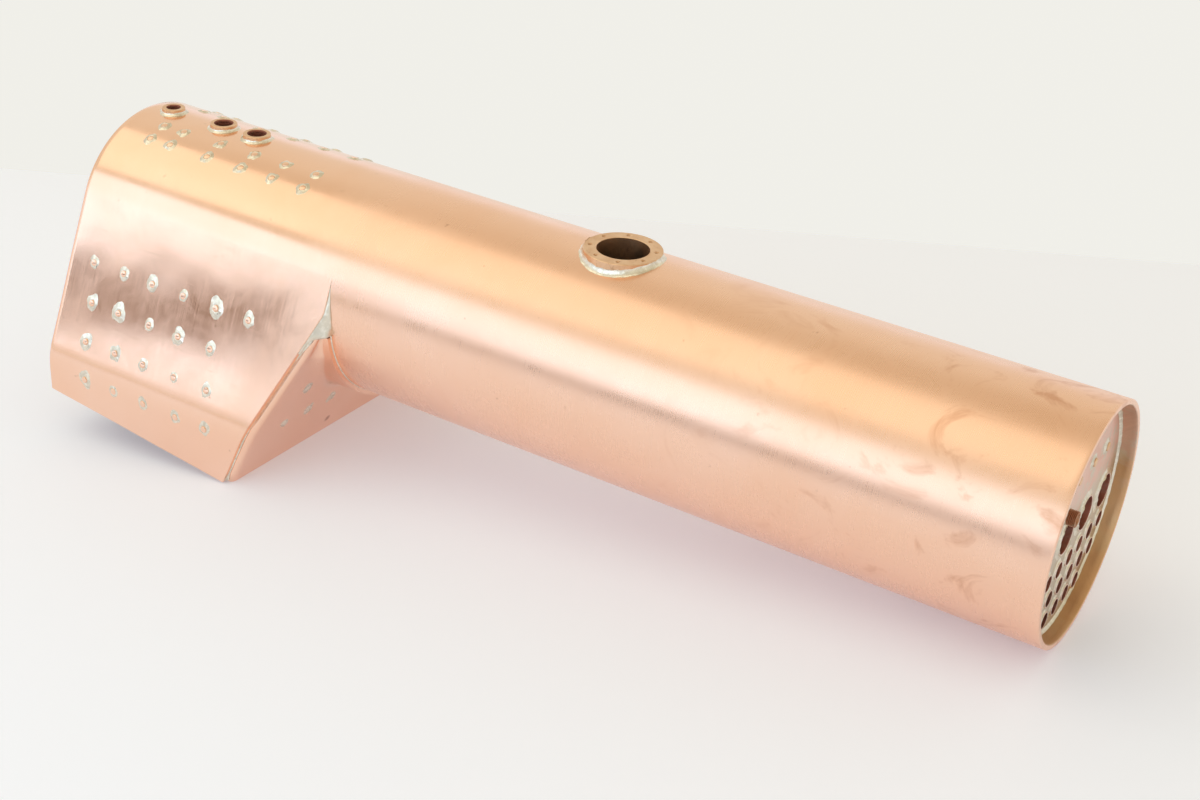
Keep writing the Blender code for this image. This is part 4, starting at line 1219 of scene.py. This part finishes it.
def throat_stays():
    """Stays through the throatplate. Those above the firebox's knee end in the water space."""
    normal = Vector((math.cos(THROAT_LEAN), 0, -math.sin(THROAT_LEAN)))
    slope = Vector((math.sin(THROAT_LEAN), 0, math.cos(THROAT_LEAN)))
    through = THROAT_PLATE + WATER + INNER
    places = [(side * 0.0552, -0.0527) for side in (-1, 1)]
    places += [(k * 0.02135, -0.0756) for k in range(-3, 4)]
    stubs, pools, inner_pools = [], [], []
    for seed, (y, z) in enumerate(places):
        centre = at(throat_face(z), y, z)
        place = flat_place(centre, ACROSS, slope, normal)
        stubs.append(stub(place, STAY_PROUD * 0.4, through + STAY_PAST))
        pools.append(pool(place, 0.0003, 0.0036, 0.0011, 200 + seed, 1.2))
        inner = centre - normal * through
        if inner.z - SHIFT.z < KNEE:
            inside = flat_place(inner, ACROSS, slope, -normal)
            inner_pools.append(pool(inside, STAY_POOL, 0.002, 0.001, 220 + seed))
    put_stays("throat", stubs, pools, inner_pools)


def backhead_stays():
    """Stays between the backhead and the doorplate."""
    places = [(k * 0.024, -0.0680) for k in range(-3, 4)]
    places += [(side * y, -0.0430) for side in (-1, 1) for y in (0.0385, 0.0630)]
    places += [(side * 0.0330, -0.0200) for side in (-1, 1)]
    depth = DOORPLATE + INNER - BACKHEAD + STAY_PAST
    stubs, pools, inner_pools = [], [], []
    for seed, (y, z) in enumerate(places):
        place = flat_place(at(BACKHEAD, y, z), ACROSS, UP, -AHEAD)
        stubs.append(stub(place, STAY_PROUD, depth))
        pools.append(pool(place, STAY_POOL, 0.0023, 0.0011, 240 + seed, 1.2))
        inner = flat_place(at(DOORPLATE + INNER, y, z), ACROSS, UP, AHEAD)
        inner_pools.append(pool(inner, STAY_POOL, 0.002, 0.001, 260 + seed))
    put_stays("backhead", stubs, pools, inner_pools)


def saddle_path(x, radius, sides=120):
    """Corners where an upright bush of that radius stands on the crown."""
    out = []
    for a in turns(sides):
        y = radius * math.sin(a)
        z = math.sqrt(RADIUS ** 2 - y ** 2)
        away = Vector((math.cos(a), math.sin(a) * z / RADIUS, -math.sin(a) * y / RADIUS))
        out.append((at(x + radius * math.cos(a), y, z), away.normalized(), UP))
    return out


def bush_solder():
    """Solder round the dome bush, the crown bushes and the backhead's fittings."""
    dome_path = saddle_path(DOME_X, DOME, 200)
    put_solder("dome_solder", [bead(dome_path, 0.0020, 0.0028, 1.0, 1.4, noisy=0.25)])
    for k, (name, (x, radius, _)) in enumerate(CROWN_BUSHES.items()):
        path = saddle_path(x, radius)
        put_solder(name + "_solder", [bead(path, 0.0017, 0.0014, 2.0 + k, 1.5)])
    rings = [ring(at(BACKHEAD, y, z), radius, -AHEAD, 72, 0.0016, 0.0014, 5.0 + k)
             for k, (y, z, radius, _) in enumerate(BACKHEAD_BUSHES.values())]
    hole = at(BACKHEAD, 0, FIREHOLE_HEIGHT)
    rings.append(ring(hole, FIREHOLE_OUTSIDE, -AHEAD, 144, 0.0022, 0.0018, 12.0))
    put_solder("backhead_fitting_solder", rings)
    hole = at(DOORPLATE + INNER, 0, FIREHOLE_HEIGHT)
    put_solder("firehole_inner_solder",
               [ring(hole, FIREHOLE_OUTSIDE, AHEAD, 144, 0.0022, 0.0018, 13.0)])


def tubeplate_solder():
    """Solder round everything that ends in the smokebox or firebox tubeplate."""
    rings = [ring(at(TUBEPLATE, y, z), TUBE, AHEAD, 40, 0.0011, 0.0008, 20.0 + k)
             for k, (_, y, z) in enumerate(tube_places())]
    rings += [ring(at(TUBEPLATE, y, z), FLUE, AHEAD, 64, 0.0022, 0.0013, 40.0 + k, 0.7)
              for k, (_, y, z) in enumerate(flue_places())]
    nipple = at(TUBEPLATE, *NIPPLE)
    rings.append(ring(nipple, NIPPLE_RADIUS, AHEAD, 40, 0.0017, 0.0013, 50.0))
    for k, (y, z) in enumerate(STAY_ENDS):
        for x, way, seed in ((TUBEPLATE, AHEAD, 300), (BACKHEAD, -AHEAD, 310)):
            place = flat_place(at(x, y, z), ACROSS, UP, way)
            rings.append(pool(place, LONG_STAY - 0.0001, 0.0022, 0.0011, seed + k))
    put_solder("tube_mouth_solder", rings, GREY_SOLDER)
    tubes = [(TUBE, *place) for place in tube_places()]
    tubes += [(FLUE, *place) for place in flue_places()]
    rear = [ring(at(FIREBOX_FRONT - INNER, y, z), size, -AHEAD, 40, 0.0012, 0.0009, 60.0 + k)
            for k, (size, _, y, z) in enumerate(tubes)]
    put_solder("tube_rear_solder", rear, GREY_SOLDER)
    rim = ring_path(at(TUBEPLATE - 0.0022, 0, 0), RADIUS - SHEET, -1.0, AHEAD, 220)
    put_solder("tubeplate_seam", [bead(rim, 0.0028, 0.0026, 70.0, 1.4, noisy=0.12)], GREY_SOLDER)


def section_path(low, high, count, x_of, inset, first, second):
    """Corners along the wrapper's section, where x_of(z) is the place along the boiler."""
    out = []
    for s in spread(low, high, count):
        y, z, ny, nz = section(s, inset)
        normal = Vector((0, ny, nz))
        x = x_of(z)
        out.append((at(x, y, z), first(normal), second(normal)))
    return out


def corner_patch(side):
    """Solder drawn across the corner between the barrel, the wrapper's cut edge and the throat."""
    rows = []
    for z in spread(0.0200, -0.0185, 40):
        s = distance_round(z)
        y, _, ny, nz = section(s)
        left = Vector((wrapper_front(z) - 0.0002, y - ny * 0.0006, z - nz * 0.0006))
        widen = share(-z, -0.0205, 0.018)
        open_to = -BARREL + 0.0003 + 0.0030 * widen
        narrow = share(-z, 0.0082, 0.0055)
        if z < -0.004:
            open_to = min(open_to, 0.0001 - NECK_FRONT)
        open_to += (left.x + 0.0012 - open_to) * narrow * (2 - narrow)
        open_to += 0.0003 * noise.noise(Vector((z * 400, side, 2.2)))
        climb = share(-z, 0.0015, 0.006)
        round_y = math.sqrt((RADIUS + (THROAT_PLATE + 0.0009) * climb) ** 2 - z ** 2)
        reach = share(open_to, left.x, 0.009)
        right_y = round_y + 0.0002 + (1 - reach) * (left.y - round_y) * max(0.25, narrow)
        right = Vector((open_to, right_y, z))
        across = []
        for j in range(9):
            u = j / 8
            p = left.lerp(right, u)
            lump = 1 + noise.noise(Vector((z * 300, u * 2, 7.0)))
            p.y += 0.0003 * math.sin(math.pi * u) * lump
            across.append(p)
        under = [Vector((p.x, p.y - 0.0035, p.z)) for p in (across[-1], across[4], across[0])]
        rows.append([at(p.x, side * p.y, p.z) for p in across + under])
    return capped(*loft(rows), len(rows[0]))


def foot_seam(path, seed):
    return bead(path, 0.0014, 0.0012, seed, 1.0, False)


def foundation_lines():
    """Solder along the foundation ring, where its bars meet the plates on both sides."""
    lines = []
    for y, side in ((HALF_WIDTH - SHEET, 1), (HALF_WIDTH - SHEET - WATER, -1)):
        for flip in (-1, 1):
            away, up = Vector((0, -flip * side, 0)), Vector((0, flip * side, -0.5))
            path = [(at(x, flip * y, foot_height(x) + 0.0004), away, up)
                    for x in spread(WRAPPER_FOOT - 0.012, BACKHEAD + 0.006, 60)]
            lines.append(foot_seam(path, 97.0 + flip + side))
    for face, way in ((lambda z: throat_face(z) - THROAT_PLATE / math.cos(THROAT_LEAN), -1),
                      (lambda z: BACKHEAD + PLATE, 1)):
        z = meet_foot(face)
        path = [(at(face(z), y, z + 0.0004), AHEAD * way, Vector((-way, 0, -0.5)))
                for y in spread(-0.087, 0.087, 80)]
        lines.append(foot_seam(path, 104.0 + way))
    return lines


def seams():
    """The long fillets between the plates, and the solder patches in the wrapper's corners."""
    neck = []
    for a in spread(THROAT_TOP, 2 * math.pi - THROAT_TOP, 120):
        radial = Vector((0, math.sin(a), math.cos(a)))
        neck.append((at(-NECK_FRONT, 0, 0) + radial * RADIUS, AHEAD, radial))
    put_solder("neck_seam", [bead(neck, 0.0005, 0.0008, 80.0, 1.4, False, 0.25,
                                  lambda t: 0.2 + 0.8 * abs(2 * t - 1) ** 1.5)])

    def swell(t):
        return 0.22 + 0.78 * (1 - share(t, 0.0, 0.16)) + 0.5 * share(t, 0.96, 0.04)

    start, end = distance_round(-0.008), distance_round(-0.1066)
    for side, label in ((-1, "left"), (1, "right")):
        path = section_path(side * start, side * end, 140, wrapper_front, SHEET,
                            lambda n: AHEAD, lambda n: n)
        put_solder(f"throat_seam_{label}",
                   [bead(path, 0.0030, 0.0026, 84.0 + side, 1.3, False, 0.2, swell)])
        put_solder(f"corner_patch_{label}", [corner_patch(side)], GREY_SOLDER)
    foot = distance_round(-0.0915)
    path = section_path(-foot, foot, 240, lambda z: BACKHEAD + 0.0018, SHEET,
                        lambda n: -n, lambda n: -AHEAD)
    put_solder("backhead_seam", [bead(path, 0.0036, 0.0030, 95.0, 1.4, False)])
    put_solder("foundation_seams", foundation_lines())


# Stage


def prop(name, data, place):
    """An object of the stage, which is no piece of the part."""
    obj = bpy.data.objects.new(name, data)
    obj.matrix_world = place
    bpy.context.scene.collection.objects.link(obj)
    return obj


def plain(name, corners, look, place, **constants):
    """A four-cornered sheet in one plain colour."""
    mesh = bpy.data.meshes.new(name)
    mesh.from_pydata(corners, [], [(0, 1, 2, 3)])
    mesh.materials.append(Look(look, 0.0, **constants).material)
    return prop(name, mesh, place)


def table():
    """A pale table, tilted as the shell really rests on it."""
    tilt = math.atan((DEPTH_FRONT - RADIUS) / TABLE_SPAN)
    centre = at(-TABLE_MIDDLE, 0, -RADIUS - TABLE_MIDDLE * math.tan(tilt) - TABLE_DROP)
    along = Vector((math.cos(tilt), 0, math.sin(tilt)))
    corners = [(-2.4, -3.0), (3.2, -3.0), (3.2, FAR[1]), (-2.4, FAR[0])]
    plain("table", [tuple(centre + along * u + ACROSS * v) for u, v in corners], "pale_table",
          Matrix(), **{"Base Color": (0.79, 0.85, 0.98, 1.0), "Roughness": 0.62,
                       "Emission Color": (0.17, 0.148, 0.15, 1.0), "Emission Strength": 1.0})


def sky():
    """A plain world that changes with height only."""
    world = bpy.data.worlds.new("studio")
    world.use_nodes = True
    tree = world.node_tree
    place = tree.nodes.new("ShaderNodeTexCoord")
    split = tree.nodes.new("ShaderNodeSeparateXYZ")
    ramp = tree.nodes.new("ShaderNodeValToRGB")
    tree.links.new(place.outputs["Generated"], split.inputs[0])
    tree.links.new(split.outputs["Z"], ramp.inputs["Fac"])
    tree.links.new(ramp.outputs["Color"], tree.nodes["Background"].inputs["Color"])
    band = ramp.color_ramp.elements
    while len(band) < len(WORLD):
        band.new(1.0)
    for stop, (height, colour) in zip(band, WORLD):
        stop.position, stop.color = height, (*colour, 1.0)
    bpy.context.scene.world = world


def stage():
    """The table, the world, soft lamps and dark cards. The camera sees no lamp or card."""
    table()
    sky()
    for name, centre, size, radiance, colour in LIGHTS:
        light = bpy.data.lights.new(name, "AREA")
        light.shape = "RECTANGLE"
        light.size, light.size_y = size
        light.energy = radiance * math.pi * size[0] * size[1]
        light.color = colour
        prop(name, light, facing(at(*centre))).visible_camera = False
    for name, centre, (width, height), tilt, colour in CARDS:
        corners = [(width * i, height * j, 0.0)
                   for i, j in ((-0.5, -0.5), (0.5, -0.5), (0.5, 0.5), (-0.5, 0.5))]
        turn = Matrix.Rotation(math.radians(tilt), 4, "Y") @ Matrix.Rotation(math.pi / 2, 4, "X")
        card = plain(name, corners, name, Matrix.Translation(at(*centre)) @ turn,
                     **{"Base Color": (*colour, 1.0), "Roughness": 0.9})
        card.visible_camera = False


def facing(place):
    """A lamp's place and turn: long side along X, facing the middle of the shell."""
    way = (place - at(-0.25, 0, 0)).normalized()
    side = (AHEAD - way * AHEAD.dot(way)).normalized()
    turn = Matrix((side, way.cross(side), way)).transposed().to_4x4()
    return Matrix.Translation(place) @ turn


# The table touches the shell at its front rim and TABLE_SPAN behind it. It turns about a point
# TABLE_MIDDLE behind the rim, and lies TABLE_DROP lower so that no edge sinks in.
TABLE_SPAN, TABLE_MIDDLE, TABLE_DROP = 0.465, 0.3, 0.0004
# Far edge of the table at its left and right ends. Lamps: name, centre in the boiler's frame,
# size, radiance and colour. Dark cards: name, centre, size, tilt in degrees and colour.
FAR = (-0.258, 1.411)
LIGHTS = (
    ("warm_softbox", (-0.72, -0.38, 1.20), (1.9, 0.95), 0.50, (1.0, 1.0, 0.85)),
    ("cool_softbox", (-0.70, -1.32, 0.515), (2.6, 0.75), 1.00, (0.46, 0.69, 0.96)),
)
CARDS = (
    ("dark_card_left", (-1.24, -0.90, 0.127), (0.56, 0.088), -9.5, (0.29, 0.21, 0.16)),
    ("dark_card_right", (-0.45, -1.22, -0.03), (1.45, 0.10), 0.0, (0.10, 0.06, 0.05)),
)
# The world's colour by the height of the direction, from the horizon to straight up.
WORLD = (
    (0.0, (0.875, 0.865, 0.815)), (0.02, (0.96, 0.96, 0.97)), (0.14, (0.96, 0.96, 0.97)),
    (0.30, (0.84, 0.80, 0.67)), (0.66, (0.84, 0.80, 0.65)), (0.86, (0.69, 0.60, 0.43)),
)


# The camera: yaw, pitch and roll in radians, place in barrel radii, and lens in mm.
VIEW, EYE, LENS = (-0.5322, 0.5013, -0.0705), (2.5919, -11.79, 7.0653), 53.72


def camera():
    """The photo's viewpoint, looking down over the near front quarter."""
    yaw, pitch, roll = VIEW
    ahead = Vector((math.sin(yaw) * math.cos(pitch), math.cos(yaw) * math.cos(pitch),
                    -math.sin(pitch)))
    right = ahead.cross(UP).normalized()
    down = ahead.cross(right)
    turned_right = right * math.cos(roll) + down * math.sin(roll)
    turned_down = down * math.cos(roll) - right * math.sin(roll)
    data = bpy.data.cameras.new("camera")
    data.lens = LENS
    data.sensor_width = 36.0
    data.clip_start = 0.01
    data.clip_end = 50.0
    axes = Matrix((turned_right, -turned_down, -ahead)).transposed().to_4x4()
    place = Matrix.Translation(at(*[size * RADIUS for size in EYE])) @ axes
    bpy.context.scene.camera = prop("camera", data, place)
    bpy.context.scene.view_settings.view_transform = "Standard"


shell()
throatplate()
plates()
firebox_sheet()
front_plate()
tube_bank()
fittings()
dome()
foundation_ring()
side_stays()
crown_stays()
throat_stays()
backhead_stays()
bush_solder()
tubeplate_solder()
seams()
stage()
camera()
